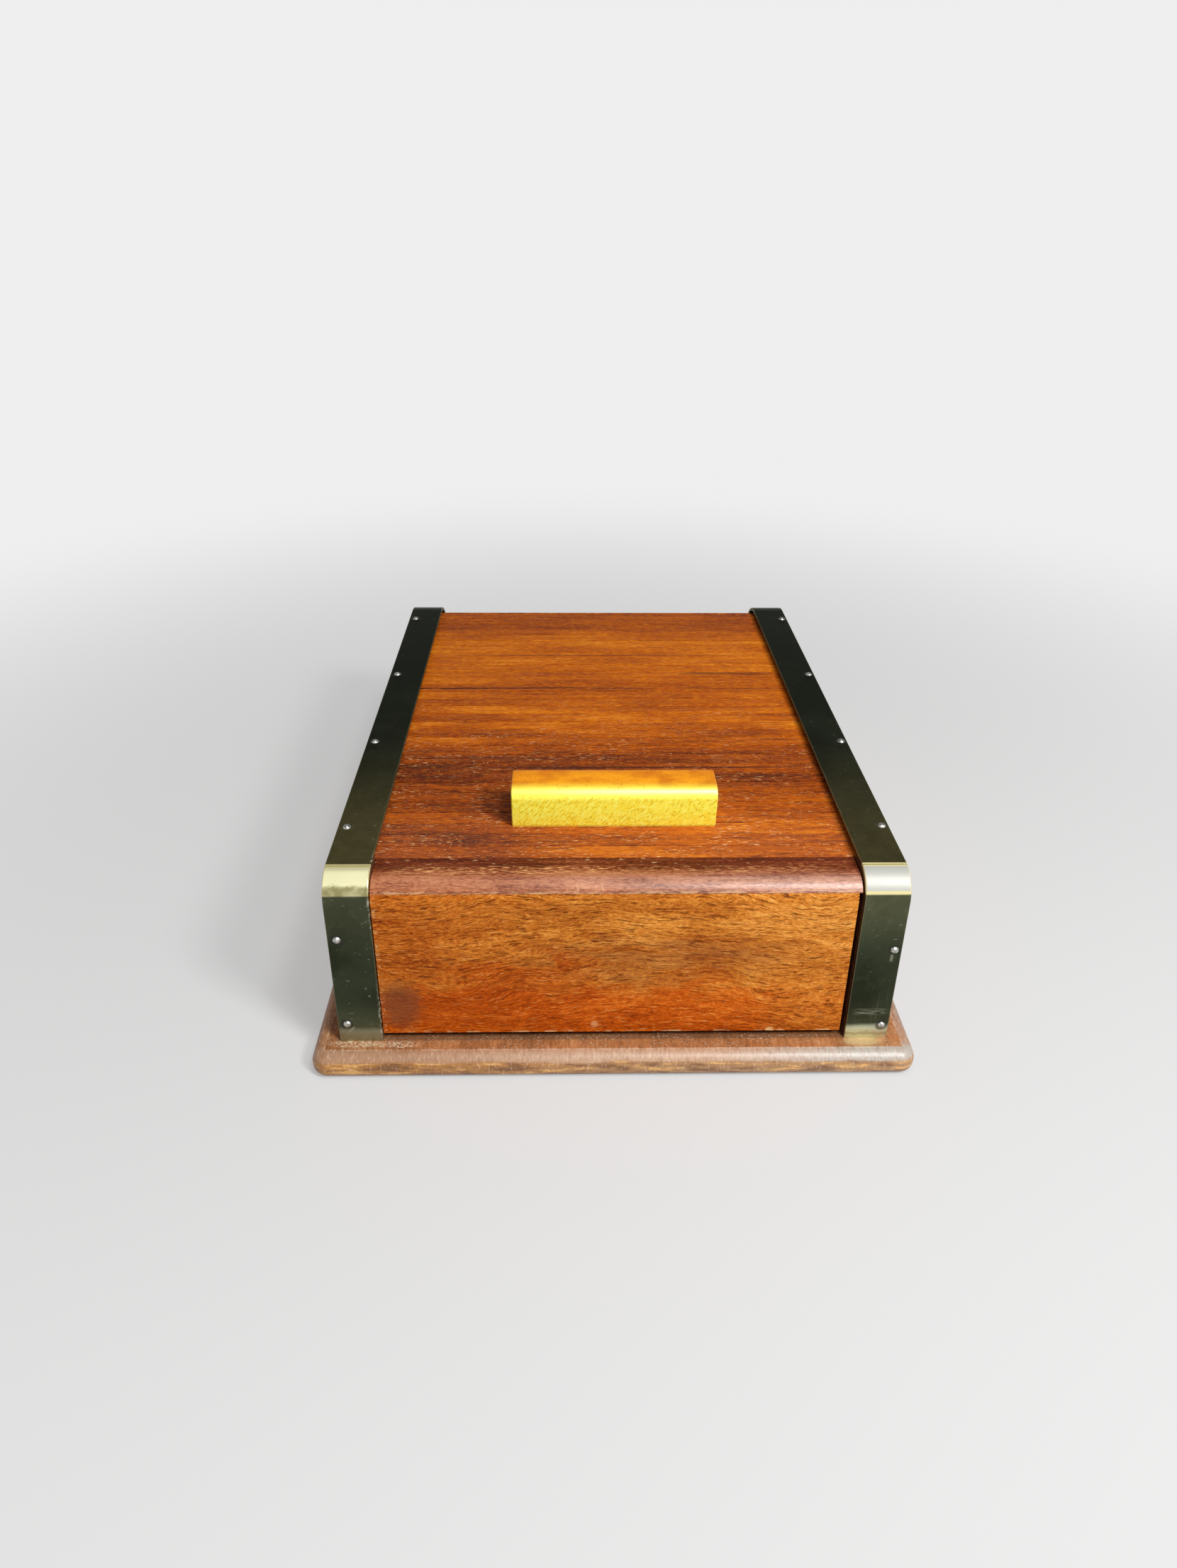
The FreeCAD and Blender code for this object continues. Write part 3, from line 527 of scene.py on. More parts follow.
def nosing_finish():
    """Red-brown moulding: dark on its flat, worn pale round the nose with painted sheen, most of all to the
    right.
    """
    wood = Finish("nosing_rosewood")
    place = wood.place()
    across, along, up = wood.parts(place)
    streak = wood.noise(place, (24, 1.5, 1.5), detail=4, rough=0.62, shift=5)
    fibre = wood.noise(place, (1.6, 0.42, 0.42), detail=3, rough=0.7, bend=0.3, shift=9)
    thread = wood.noise(place, (3.0, 0.40, 0.40), rough=0.6, bend=0.2, shift=18)
    cloud = wood.noise(place, (20, 8, 8), shift=14)
    nose = (along + (streak - 0.5) * 5).ease(-103.4, -107.4)

    level = 0.175 + nose * 0.395 + (streak - 0.5) * 1.2 + (fibre - 0.5) * 1.6 + (cloud - 0.5) * 0.6
    level = level - up.ease(52.6, 51.3) * 0.20
    wood.colour = wood.ramp(level, NOSING_TONES)
    # painted sheen together with wear: a pale band round the nose, stronger to the right
    rubbed_and_sheen = along.between(-111.2, -108.4, 1.2) * (across.ease(-70, 66) * 0.26 + 0.04)
    rubbed_and_sheen = rubbed_and_sheen * (0.75 + (fibre - 0.5) * 1.8 + (cloud - 0.5) * 0.8)
    wood.paint(rubbed_and_sheen, tone(0.62, 0.46, 0.38))
    amber = across.between(-62, 4, 8).larger(across.between(2, 60, 10) * 0.6)
    amber = amber * along.between(-107.6, -103.6, 0.9) * thread.ease(0.54, 0.62)
    wood.paint(amber * 0.9, tone(0.78, 0.40, 0.15))

    lean = across + (up - 52.5) * 0.25
    nicks = lean.between(-11.3, -10.9, 0.2).larger(lean.between(-4.4, -4.1, 0.15))
    nicks = nicks * up.between(51.5, 53.2, 0.5)
    ragged = wood.noise(place, (5, 4, 0.8), detail=4, rough=0.7, shift=3)
    worn = up.ease(52.3, 51.3) * ragged.ease(0.42, 0.58)
    lint = wood.noise(place, (3, 1.2, 1), shift=23).ease(0.64, 0.72) * along.ease(-104, -101)
    pale = (nicks * 0.45).larger(worn * 0.65).larger(lint * 0.6)
    wood.paint(pale, tone(0.70, 0.40, 0.20))
    joint = up.ease(51.35, 51.15) * 0.4
    wood.paint(joint, tone(0.06, 0.017, 0.008))

    polish = along.ease(-104.5, -108) * (0.22 + across.ease(-60, 62) * 0.58) * (0.6 + fibre * 0.8)
    height = fibre * 0.012 + streak * 0.03 + cloud * 0.1
    return wood.polished(height, polish, shine=0.08, rough=0.37, index=1.75)


def plinth_finish():
    """Worn polished board, dusty on its flat, with a nose worn pale above, partly painted sheen, and golden
    below, and painted shade at its foot and along the case.
    """
    wood = Finish("plinth_mahogany")
    place = wood.place()
    across, along, up = wood.parts(place)
    streak = wood.noise(place, (2.4, 40, 3), detail=3, rough=0.6, shift=2)
    fibre = wood.noise(place, (0.8, 2.6, 1.3), detail=3, rough=0.7, bend=0.5, shift=6)
    cloud = wood.noise(place, (15, 15, 6), detail=3, shift=8)
    edge = (abs(across) - CASE_HALF_WIDTH).larger(abs(along) + CASE_FRONT)

    level = 0.48 + (streak - 0.5) * 0.70 + (fibre - 0.5) * 0.80 + (cloud - 0.5) * 0.45
    wood.colour = wood.ramp(level, PLINTH_TONES)
    # painted sheen together with wear: the nose's upper part pale, greyer and stronger to the right and at
    # the front
    bleached_and_sheen = wood.blend(across.ease(-70, 5), tone(0.37, 0.205, 0.112), tone(0.48, 0.31, 0.200))
    bleached_and_sheen = wood.blend(across.ease(20, 75), bleached_and_sheen, tone(0.405, 0.372, 0.325))
    nose = edge.ease(3.6, 4.2)
    before = along.ease(CASE_FRONT - 1, CASE_FRONT - 4)
    upper = nose * (up + (cloud - 0.5) * 1.8).ease(-2.6, -1.7)
    rubbed_and_sheen = upper * (0.30 + before * 0.60 + (fibre - 0.5) * 1.6)
    golden = wood.blend(across.ease(-70, 20), tone(0.38, 0.165, 0.034), tone(0.37, 0.200, 0.080))
    bruise = wood.noise(place, (9, 9, 1.6), detail=4, rough=0.65, shift=16)
    golden = wood.blend(bruise.ease(0.50, 0.62) * 0.85, golden, tone(0.14, 0.055, 0.016))
    golden = wood.blend(bruise.ease(0.46, 0.36) * 0.85, golden, tone(0.74, 0.42, 0.13))
    wood.paint(nose * (1 - upper) * (0.85 + (fibre - 0.5) * 0.8), golden)
    wood.paint(rubbed_and_sheen, bleached_and_sheen)
    flecks = wood.noise(place, (0.55, 1.8, 1.2), bend=0.4, shift=12)
    wood.paint(flecks.ease(0.56, 0.68) * nose * 0.40, tone(0.24, 0.110, 0.050))
    wood.paint(flecks.ease(0.42, 0.32) * nose * 0.25, tone(0.76, 0.58, 0.44))
    arris = edge.between(3.75, 4.3, 0.2) * fibre.ease(0.40, 0.60)
    wood.paint(arris * 0.35, tone(0.74, 0.54, 0.40))
    # painted shade: a dark line where the case stands on the plinth, and the plinth darker towards its
    # bottom edge
    bottom_shade = up.ease(-5.6, -7.0)
    wood.paint((edge.ease(0.4, -0.4) * 0.6).larger(bottom_shade * 0.7), tone(0.10, 0.045, 0.022))

    flat = up.ease(-0.5, -0.1) * edge.ease(4.2, 3.6)
    specks = wood.noise(place, (0.8, 0.6, 1), detail=3, rough=0.7, shift=20).ease(0.52, 0.68)
    litter = wood.noise(place, (7, 3, 5), shift=28).ease(0.36, 0.66)
    dust = specks * flat * (0.10 + litter * 0.75)
    foot = wood.patch(across, along, (-76, -115.6), (10, 1.9))
    foot = foot.larger(wood.patch(across, along, (-64, -116), (8, 2)))
    fluff = foot * wood.noise(place, (0.7, 0.7, 1), detail=3, rough=0.6, shift=25).ease(0.40, 0.62)
    dust = dust.larger(fluff * 0.85)
    wood.paint(dust, tone(0.68, 0.52, 0.36))
    glow = wood.patch(across, along, (73.5, -115.8), (7, 2.6)) * flat
    wood.paint(glow * 0.7, tone(0.52, 0.38, 0.18))

    polish = nose * (0.35 + before * (0.20 + across.ease(-30, 70) * 0.28)) + flat * 0.25 - dust * 0.2
    height = fibre * 0.03 + cloud * 0.10 + dust * 0.10 + flecks * 0.03
    return wood.polished(height, polish, shine=0.15, rough=0.38, index=1.6)


def handle_finish():
    """Golden satinwood: a lustrous rippled figure on the front and a deeper orange on top."""
    wood = Finish("handle_satinwood")
    place = wood.place()
    across, along, up = wood.parts(place)
    slanted = wood.joined(across - up * 0.9, along, up + across * 0.45)
    pebble = wood.noise(slanted, (0.46, 1.5, 1.5), detail=1, bend=0.8, shift=4)
    cloud = wood.noise(place, (9, 6, 5), detail=3, shift=7)
    fibre = wood.noise(place, (6, 1.0, 1.0), rough=0.6, shift=11)
    crown_height = 63.6
    crown_front = -79.8
    turn = (up - crown_height) + (along - crown_front)
    top = turn.ease(-0.6, 6.0)

    front = wood.blend(cloud.ease(0.35, 0.65), tone(1.0, 0.86, 0.055), tone(1.0, 0.93, 0.075))
    upper = wood.blend(cloud.ease(0.35, 0.65), tone(0.63, 0.180, 0.002), tone(0.86, 0.330, 0.006))
    # the top darker towards its back edge and its ends
    darker_back_and_ends = (along + (cloud - 0.5) * 7).ease(-74.5, -69) * 0.45
    darker_back_and_ends = darker_back_and_ends + (abs(across + 1) + cloud * 8).ease(27, 36) * 0.30
    upper = wood.blend(darker_back_and_ends, upper, tone(0.56, 0.150, 0.003))
    deep_gold = up.ease(62, 53) * (0.20 + across.ease(6, -34) * 0.40) + up.ease(56.5, 54) * 0.20
    front = wood.blend(deep_gold, front, tone(0.98, 0.62, 0.020))
    wood.colour = wood.blend(top, front, upper)
    face = up.ease(65.6, 63.4)
    gleam = turn.between(-0.9, 1.1, 1.3) * (0.06 + across.ease(-30, 6) * 0.46)
    wood.paint(gleam, tone(1.0, 0.95, 0.48))
    wood.paint(pebble.ease(0.50, 0.60) * face, tone(1.0, 1.0, 0.16))
    ripples = pebble.ease(0.42, 0.35) * (0.55 + face * 0.45) * (1 - gleam * 1.6)
    wood.paint(ripples * 0.85, tone(0.74, 0.60, 0.22), mode="MULTIPLY")
    wood.paint(fibre.ease(0.54, 0.72) * (0.05 + top * 0.35), tone(0.60, 0.19, 0.005))
    # the front darker along the handle's foot, where it sits on the slats
    darkening = up.ease(55.3, 54.4)
    wood.paint(darkening * 0.5, tone(0.40, 0.16, 0.012))

    height = pebble * (0.05 + face * 0.06) + fibre * 0.015
    crown = turn.between(-3.6, 3.2, 2.2)
    return wood.polished(height, 0.10 + crown * 0.70, shine=0.10, rough=0.32, index=1.85)


def case_finish(name, sizes):
    """Polished red-brown panels with open pores; sizes give the direction of the grain."""
    wood = Finish(name)
    place = wood.place()
    streak = wood.noise(place, sizes, detail=3, rough=0.6, shift=3)
    ribbon = wood.noise(place, [size ** 0.5 * 6 for size in sizes], bend=0.5, shift=5)
    pores = wood.noise(place, [size ** 0.75 * 0.22 for size in sizes], detail=1, shift=9)
    wood.colour = wood.blend(streak.ease(0.35, 0.66), tone(0.20, 0.055, 0.018), tone(0.38, 0.115, 0.030))
    wood.paint(ribbon.ease(0.42, 0.66) * 0.4, tone(0.46, 0.15, 0.04))
    wood.paint(pores.ease(0.58, 0.70) * 0.65, tone(0.08, 0.024, 0.010))
    height = streak * 0.04 - pores.ease(0.56, 0.70) * 0.05 + ribbon * 0.15
    return wood.surface({"Roughness": 0.28 + ribbon * 0.18, "Specular IOR Level": 0.4}, height)


def lining_finish():
    """Inner walls, never polished, in a dark brown."""
    wood = Finish("lining_mahogany")
    place = wood.place()
    streak = wood.noise(place, (1.6, 50, 1.6), detail=4, rough=0.6, shift=6)
    fibre = wood.noise(place, (0.5, 8, 0.5), shift=3)
    wood.colour = wood.blend(streak.ease(0.35, 0.65), tone(0.045, 0.016, 0.008), tone(0.13, 0.042, 0.016))
    return wood.surface({"Roughness": 0.6 + fibre * 0.2, "Specular IOR Level": 0.2}, fibre * 0.06)


def drawer_finish(name, sizes):
    """Plain planed softwood with darker late growth."""
    wood = Finish(name)
    place = wood.place()
    rings = wood.noise(place, [size * 2 for size in sizes], detail=1, shift=4)
    growth = ((rings * 46).wave() * 0.5 + 0.5) ** 2.2
    fibre = wood.noise(place, [size * 0.25 for size in sizes], rough=0.6, shift=6)
    cloud = wood.noise(place, (40, 40, 40), shift=8)
    wood.colour = wood.blend(growth * 0.55, tone(0.66, 0.45, 0.24), tone(0.48, 0.26, 0.10))
    wood.paint(cloud.ease(0.4, 0.7) * 0.4, tone(0.56, 0.37, 0.20))
    wood.paint(fibre.ease(0.52, 0.72) * 0.3, tone(0.36, 0.20, 0.09))
    height = fibre * 0.05 + growth * 0.02
    return wood.surface({"Roughness": 0.58 + fibre * 0.2, "Specular IOR Level": 0.3}, height)


def brass_finish():
    """Old brass, grimy and scratched: dark olive for tarnish and a painted dark reflection, bright on the
    front bends from wear and a painted reflection, with painted highlight lines, painted reflections on the
    feet and painted shade towards the back of the tops.
    """
    brass = Finish("strip_brass")
    place = brass.place()
    across, along, up = brass.parts(place)
    cloud = brass.noise(place, (22, 22, 22), detail=3, rough=0.55, shift=3)
    mottle = brass.noise(place, (3.2, 3.2, 3.2), detail=3, rough=0.6, shift=6)
    specks = brass.noise(place, (1.1, 1.1, 1.1), detail=1, shift=9)
    drawn = brass.noise(place, (0.7, 30, 30), shift=12)

    bend_low = CASE_HEIGHT - FRONT_BEND
    bend_back = CASE_FRONT + FRONT_BEND
    front = along.ease(CASE_FRONT + 1.6, CASE_FRONT + 1.2)
    right = across.ease(-1, 1)

    # the flats' dark olive is tarnish together with a painted dark reflection
    brass.colour = brass.blend(cloud.ease(0.36, 0.66), tone(0.024, 0.029, 0.016), tone(0.046, 0.054, 0.031))
    brass.paint(mottle.ease(0.54, 0.74) * 0.3, tone(0.075, 0.080, 0.045))
    sheen = front * up.ease(30, 48) * (0.17 + right * 0.18)
    sheen = sheen.larger(front * up.ease(16, 2) * (0.40 - right * 0.2))
    brass.paint(sheen * (0.6 + mottle * 0.8), tone(0.21, 0.215, 0.115))
    # the tops lighter and warmer towards the front, wear together with painted sheen; painted shade darkens
    # them towards the back
    worn = (1 - front) * along.ease(-25, bend_back)
    brass.paint(worn * (0.40 + mottle * 0.5 - right * 0.12), tone(0.30, 0.245, 0.090))
    brass.paint((1 - front) * along.ease(-50, 50) * 0.9, tone(0.007, 0.008, 0.005))
    spots = specks.ease(0.71, 0.76) * cloud.ease(0.38, 0.56)
    brass.paint(spots * 0.45, tone(0.30, 0.31, 0.24))

    # the bends lighter olive gold, wear together with painted reflection
    rubbed_and_sheen = up.ease(bend_low + 2.5, bend_low + 3.0) * along.ease(bend_back + 0.2, bend_back - 0.2)
    olive = brass.blend(mottle.ease(0.35, 0.65), tone(0.36, 0.33, 0.15), tone(0.62, 0.57, 0.30))
    brass.paint(rubbed_and_sheen, olive)
    # painted reflection: the upper part of each bend, and all of the right bend, pale and less metallic
    upper = (up + (mottle - 0.5) * 2.4).ease(bend_low + 4.4, bend_low + 5.8)
    pale = rubbed_and_sheen * upper.larger(right)
    brass.paint(pale, brass.blend(right, tone(0.80, 0.76, 0.45), tone(0.42, 0.415, 0.375)))
    crest = along.between(bend_back - 1.5, bend_back + 0.2, 0.1)
    crest = crest * up.ease(CASE_HEIGHT - 1.5, CASE_HEIGHT - 0.6)
    lower_line = right * rubbed_and_sheen * up.ease(bend_low + 3.9, bend_low + 3.3)
    rim = abs(abs(across) - STRIP_MIDDLE).ease(STRIP_HALF_WIDTH - 0.35, STRIP_HALF_WIDTH - 0.05)
    # painted highlights: bright lines along each bend's crest, along the right bend's lower edge and along
    # the strips' edges over the bends
    brass.paint(crest.larger(lower_line).larger(rim * rubbed_and_sheen) * 0.75, tone(0.72, 0.61, 0.24))
    crease = crest * along.between(bend_back - 0.95, bend_back - 0.6, 0.12) * (0.4 + right * 0.4)
    brass.paint(crease, tone(0.13, 0.105, 0.030))

    # painted reflection of the plinth: the strips' feet lighter and golden, most of all on the right
    foot = (up + (cloud - 0.5) * 3).ease(5.6, 3.2) * front
    brass.paint(foot * (0.35 + right * 0.55), tone(0.80, 0.88, 0.66))
    smear = foot * right * (up - 1.6 + (mottle - 0.5) * 3).between(-0.5, 0.5, 0.4)
    brass.paint(smear * 0.35, tone(0.20, 0.14, 0.06))
    hatch = brass.noise(place, (3.0, 3.0, 0.24), shift=18).ease(0.44, 0.60)
    scuff = up.between(8.9, 10.9, 0.5) * across.between(70.5, 79, 1.5) * hatch
    slip = (across - up * 0.9).between(-81.6, -80.8, 0.25) * up.between(3.1, 5.3, 0.3)
    drip = (across - 78.4).between(-0.35, 0.35, 0.3) * up.between(28.6, 31.1, 0.5) * 0.5
    hair = drawn.ease(0.62, 0.70) * up.between(5, 15, 4) * right * 0.22
    scratch = (scuff * 0.5).larger(slip * 0.7).larger(drip).larger(hair) * front
    brass.paint(scratch, tone(0.46, 0.46, 0.34))
    brass.paint(rim * (1 - rubbed_and_sheen) * (0.10 + mottle * 0.4), tone(0.42, 0.38, 0.22))
    fluff = brass.noise(place, (0.6, 1.2, 1.2), detail=3, rough=0.6, shift=15)
    fluff = fluff.ease(0.46, 0.66) * across.between(-68.8, -68.0, 0.35) * along.ease(-96, -108)
    fluff = fluff * up.ease(34, 48).larger(up.ease(24, 10))
    brass.paint(fluff * 0.8, tone(0.42, 0.38, 0.30))

    ends = []
    for side in ("left", "right"):
        line = pin_line(side)
        ends += [(line, CASE_FRONT, height) for height in FRONT_PINS[side]]
        ends += [(line, distance, CASE_HEIGHT) for distance in TOP_PINS]
    nearest = brass.reach(place, ends[0])
    for end in ends[1:]:
        nearest = nearest.smaller(brass.reach(place, end))
    darkening = (nearest + (mottle - 0.5) * 1.2).ease(2.3, 1.3)
    brass.paint(darkening * 0.8, tone(0.014, 0.015, 0.012))

    height = cloud * 0.10 + mottle * 0.012 - scratch * 0.02
    return brass.surface(
        {
            "Metallic": 1.0 - (darkening * 0.5).larger(fluff).larger(pale * (0.5 + right * 0.3)),
            "Roughness": 0.30 + cloud * 0.14 + spots * 0.2 - rubbed_and_sheen * (0.14 - right * 0.26),
            "Specular Tint": tone(0.68, 0.70, 0.64),
        },
        height,
    )


def pin_finish():
    """Pale worn pin heads, mottled darker in patches."""
    metal = Finish("pin_metal")
    place = metal.place()
    wear = metal.noise(place, (0.7, 0.7, 0.7), detail=3, shift=3)
    metal.colour = metal.blend(wear.ease(0.36, 0.66), tone(0.30, 0.29, 0.26), tone(0.66, 0.65, 0.60))
    return metal.surface({"Metallic": 1.0, "Roughness": 0.22 + wear * 0.2}, wear * 0.05)


def screw_finish():
    """Dull screws with a brown bloom and turning marks."""
    metal = Finish("screw_steel")
    place = metal.place()
    bloom = metal.noise(place, (1.6, 1.6, 1.6), detail=3, shift=5)
    turned = metal.noise(place, (0.15, 0.15, 4), shift=8)
    metal.colour = metal.blend(bloom.ease(0.42, 0.66), tone(0.42, 0.40, 0.37), tone(0.20, 0.14, 0.09))
    return metal.surface(
        {"Metallic": 0.9, "Roughness": 0.38 + bloom * 0.25},
        turned * 0.02,
    )


def canvas_finish():
    """Unbleached plain-woven canvas with slubs."""
    cloth = Finish("curtain_canvas")
    place = cloth.place()
    across, along, up = cloth.parts(place)
    down = along - up
    threads = 2 * math.pi / CANVAS_THREAD
    over = (across * threads).wave() * (down * threads * 0.5).wave()
    under = (down * threads).wave() * (across * threads * 0.5).wave()
    weave = over.larger(under)
    slub = cloth.noise(place, (7, 0.6, 0.6), shift=4)
    cloth.colour = cloth.blend(weave.ease(-0.2, 0.9), tone(0.24, 0.19, 0.12), tone(0.50, 0.42, 0.29))
    cloth.paint(slub.ease(0.5, 0.7) * 0.4, tone(0.36, 0.29, 0.18))
    return cloth.surface(
        {"Roughness": 0.9, "Specular IOR Level": 0.15, "Sheen Weight": 0.25},
        weave * 0.1 + slub * 0.05,
    )


def floor_finish():
    """Plain pale floor that takes the box's shadow and fades into the pale surroundings further off."""
    floor = Finish("pale_floor")
    place = floor.place()
    seen = seen_directly(floor)
    cloud = floor.noise(place, (900, 900, 900))
    floor.colour = floor.blend(cloud, tone(0.76, 0.76, 0.755), tone(0.79, 0.79, 0.785))
    floor.paint(seen, tone(0.58, 0.58, 0.577))
    near_by = floor.node("ShaderNodeBsdfDiffuse", {}, {"Color": floor.colour})
    far_off = floor.node("ShaderNodeEmission", {}, {"Color": PALE, "Strength": 1.0})
    far = (0.42 + floor.reach(place, (0, 0, 0)).ease(120, 580) * 0.58) * seen
    mixed = floor.node("ShaderNodeMixShader", {}, {0: far, 1: near_by.outputs[0], 2: far_off.outputs[0]})
    floor.node("ShaderNodeOutputMaterial", {}, {"Surface": mixed.outputs[0]})
    return floor.material


def board(low, high):
    """A plain board between two corners."""
    shape = bmesh.new()
    bmesh.ops.create_cube(shape, size=1.0)
    size = Vector(high) - Vector(low)
    bmesh.ops.scale(shape, vec=size, verts=shape.verts)
    bmesh.ops.translate(shape, vec=Vector(low) + size / 2, verts=shape.verts)
    return shape


def edges_where(shape, test):
    """Edges both of whose ends pass a test."""
    return [edge for edge in shape.edges if all(test(vert.co) for vert in edge.verts)]


def rounded(shape, geom, radius, steps, affect="EDGES"):
    """Rounds edges, or the corners of a flat outline."""
    bmesh.ops.bevel(
        shape,
        geom=geom,
        offset=radius,
        offset_type="OFFSET",
        segments=steps,
        profile=0.5,
        affect=affect,
        material=-1,
    )


def near(first, second):
    return abs(first - second) < 1e-4


def only(geom, kind):
    """The vertices, edges or faces among mixed elements."""
    return [item for item in geom if isinstance(item, kind)]


def drawn_out(shape, faces, move):
    """Draws faces out along a straight run and returns the faces at its end."""
    grown = bmesh.ops.extrude_face_region(shape, geom=faces)["geom"]
    verts = only(grown, bmesh.types.BMVert)
    bmesh.ops.translate(shape, vec=move, verts=verts)
    return only(grown, bmesh.types.BMFace)


def bent_over(shape, geom, centre, steps):
    """Bends faces or edges a quarter turn backwards about an axis along X and returns the bend's end."""
    spun = bmesh.ops.spin(
        shape,
        geom=geom,
        cent=centre,
        axis=(1, 0, 0),
        angle=-QUARTER_TURN,
        steps=steps,
        use_merge=False,
        use_duplicate=False,
    )
    return spun["geom_last"]


def finished(name, shape, finish, body, nodes):
    """Makes a piece of a shape in millimetres; it rides on a body and stands for solids."""
    bmesh.ops.scale(shape, vec=(MM, MM, MM), verts=shape.verts)
    mesh = bpy.data.meshes.new(name)
    shape.to_mesh(mesh)
    shape.free()
    mesh.shade_smooth()
    mesh.set_sharp_from_angle(angle=SMOOTH_ANGLE)
    mesh.materials.append(finish)
    piece = bpy.data.objects.new(name, mesh)
    bpy.context.scene.collection.objects.link(piece)
    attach(piece, body)
    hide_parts(*nodes)
    return piece


def even_faces(piece):
    """Keeps broad faces flat beside their rounded edges."""
    weighted = piece.modifiers.new("even_faces", "WEIGHTED_NORMAL")
    weighted.keep_sharp = True
    return piece


def make_plinth(finish):
    """The plinth, a hair above the floor so that its screws' flush heads show from below."""
    low, high = corners("plinth")
    low.z += SCREW_STAND
    shape = board(low, high)
    uprights = [edge for edge in shape.edges if not near(edge.verts[0].co.z, edge.verts[1].co.z)]
    rounded(shape, uprights, PLINTH_CORNER, steps=10)
    rounded(shape, edges_where(shape, lambda at: near(at.z, high.z)), PLINTH_TOP_ROUND, steps=9)
    rounded(shape, edges_where(shape, lambda at: near(at.z, low.z)), PLINTH_UNDER_ROUND, steps=7)
    even_faces(finished("moulded_plinth", shape, finish, "case", ["plinth"]))


def make_strip(side, finish):
    """One strip of brass: up the front, over the bend, along the top and down the back."""
    low, high = corners(f"{side}_brass_strip")
    shape = bmesh.new()
    bmesh.ops.create_grid(shape, x_segments=1, y_segments=1, size=0.5)
    bmesh.ops.scale(shape, vec=(high.x - low.x, STRIP_THICK, 1), verts=shape.verts)
    start = ((low.x + high.x) / 2, low.y + STRIP_THICK / 2, low.z)
    bmesh.ops.translate(shape, vec=start, verts=shape.verts)
    rounded(shape, list(shape.verts), STRIP_ARRIS, steps=3, affect="VERTICES")
    end = drawn_out(shape, list(shape.faces), (0, 0, high.z - FRONT_BEND - low.z))
    front_centre = (0, low.y + FRONT_BEND, high.z - FRONT_BEND)
    end = only(bent_over(shape, end, front_centre, steps=14), bmesh.types.BMFace)
    end = drawn_out(shape, end, (0, high.y - low.y - FRONT_BEND - REAR_BEND, 0))
    rear_centre = (0, high.y - REAR_BEND, high.z - REAR_BEND)
    end = only(bent_over(shape, end, rear_centre, steps=18), bmesh.types.BMFace)
    drawn_out(shape, end, (0, 0, low.z - (high.z - REAR_BEND)))
    bmesh.ops.recalc_face_normals(shape, faces=shape.faces)
    name = f"{side}_bent_strip"
    even_faces(finished(name, shape, finish, "case", [f"{side}_brass_strip"]))


def add_pin(shape, point, turn):
    """A domed head with a short shank behind it, pointing up before it is turned."""
    old = set(shape.verts)
    ball = (PIN_HEAD_RADIUS ** 2 + PIN_HEAD_HEIGHT ** 2) / (2 * PIN_HEAD_HEIGHT)
    bmesh.ops.create_uvsphere(shape, u_segments=24, v_segments=20, radius=ball)
    fresh = [vert for vert in shape.verts if vert not in old]
    bmesh.ops.translate(shape, vec=(0, 0, PIN_HEAD_HEIGHT - ball), verts=fresh)
    edges = {edge for vert in fresh for edge in vert.link_edges}
    faces = {face for vert in fresh for face in vert.link_faces}
    cut = bmesh.ops.bisect_plane(
        shape,
        geom=fresh + list(edges) + list(faces),
        plane_co=(0, 0, 0),
        plane_no=(0, 0, 1),
        clear_inner=True,
    )
    rim = only(cut["geom_cut"], bmesh.types.BMEdge)
    base = bmesh.ops.holes_fill(shape, edges=rim)["faces"]
    bmesh.ops.inset_region(shape, faces=base, thickness=PIN_HEAD_RADIUS - PIN_SHANK_RADIUS)
    drawn_out(shape, base, (0, 0, -PIN_SHANK_LENGTH))
    bmesh.ops.delete(shape, geom=[face for face in base if face.is_valid], context="FACES_ONLY")
    fresh = [vert for vert in shape.verts if vert not in old]
    bmesh.ops.transform(shape, matrix=Matrix.Translation(point) @ turn, verts=fresh)


def make_pins(side, finish):
    line = pin_line(side)
    low, high = corners(f"{side}_brass_strip")
    shape = bmesh.new()
    for distance in TOP_PINS:
        add_pin(shape, (line, distance, high.z), Matrix.Identity(4))
    for height in FRONT_PINS[side]:
        add_pin(shape, (line, low.y, low.z + height), Matrix.Rotation(QUARTER_TURN, 4, "X"))
    for height in REAR_PINS:
        add_pin(shape, (line, high.y, low.z + height), Matrix.Rotation(-QUARTER_TURN, 4, "X"))
    bmesh.ops.recalc_face_normals(shape, faces=shape.faces)
    finished(f"{side}_domed_pins", shape, finish, "case", [f"{side}_strip_pins"])


def make_side_panel(side, finish):
    low, high = corners(f"{side}_side_panel")
    shape = board(low, high)
    front = edges_where(shape, lambda at: near(at.z, high.z) and near(at.y, low.y))
    rounded(shape, front, PANEL_FRONT_ROUND, steps=14)
    rear = edges_where(shape, lambda at: near(at.z, high.z) and near(at.y, high.y))
    rounded(shape, rear, PANEL_REAR_ROUND, steps=18)
    outer = low.x if side == "left" else high.x
    rounded(shape, edges_where(shape, lambda at: near(at.x, outer)), PANEL_ARRIS, steps=2)
    name = f"{side}_polished_panel"
    even_faces(finished(name, shape, finish, "case", [f"{side}_side_panel"]))


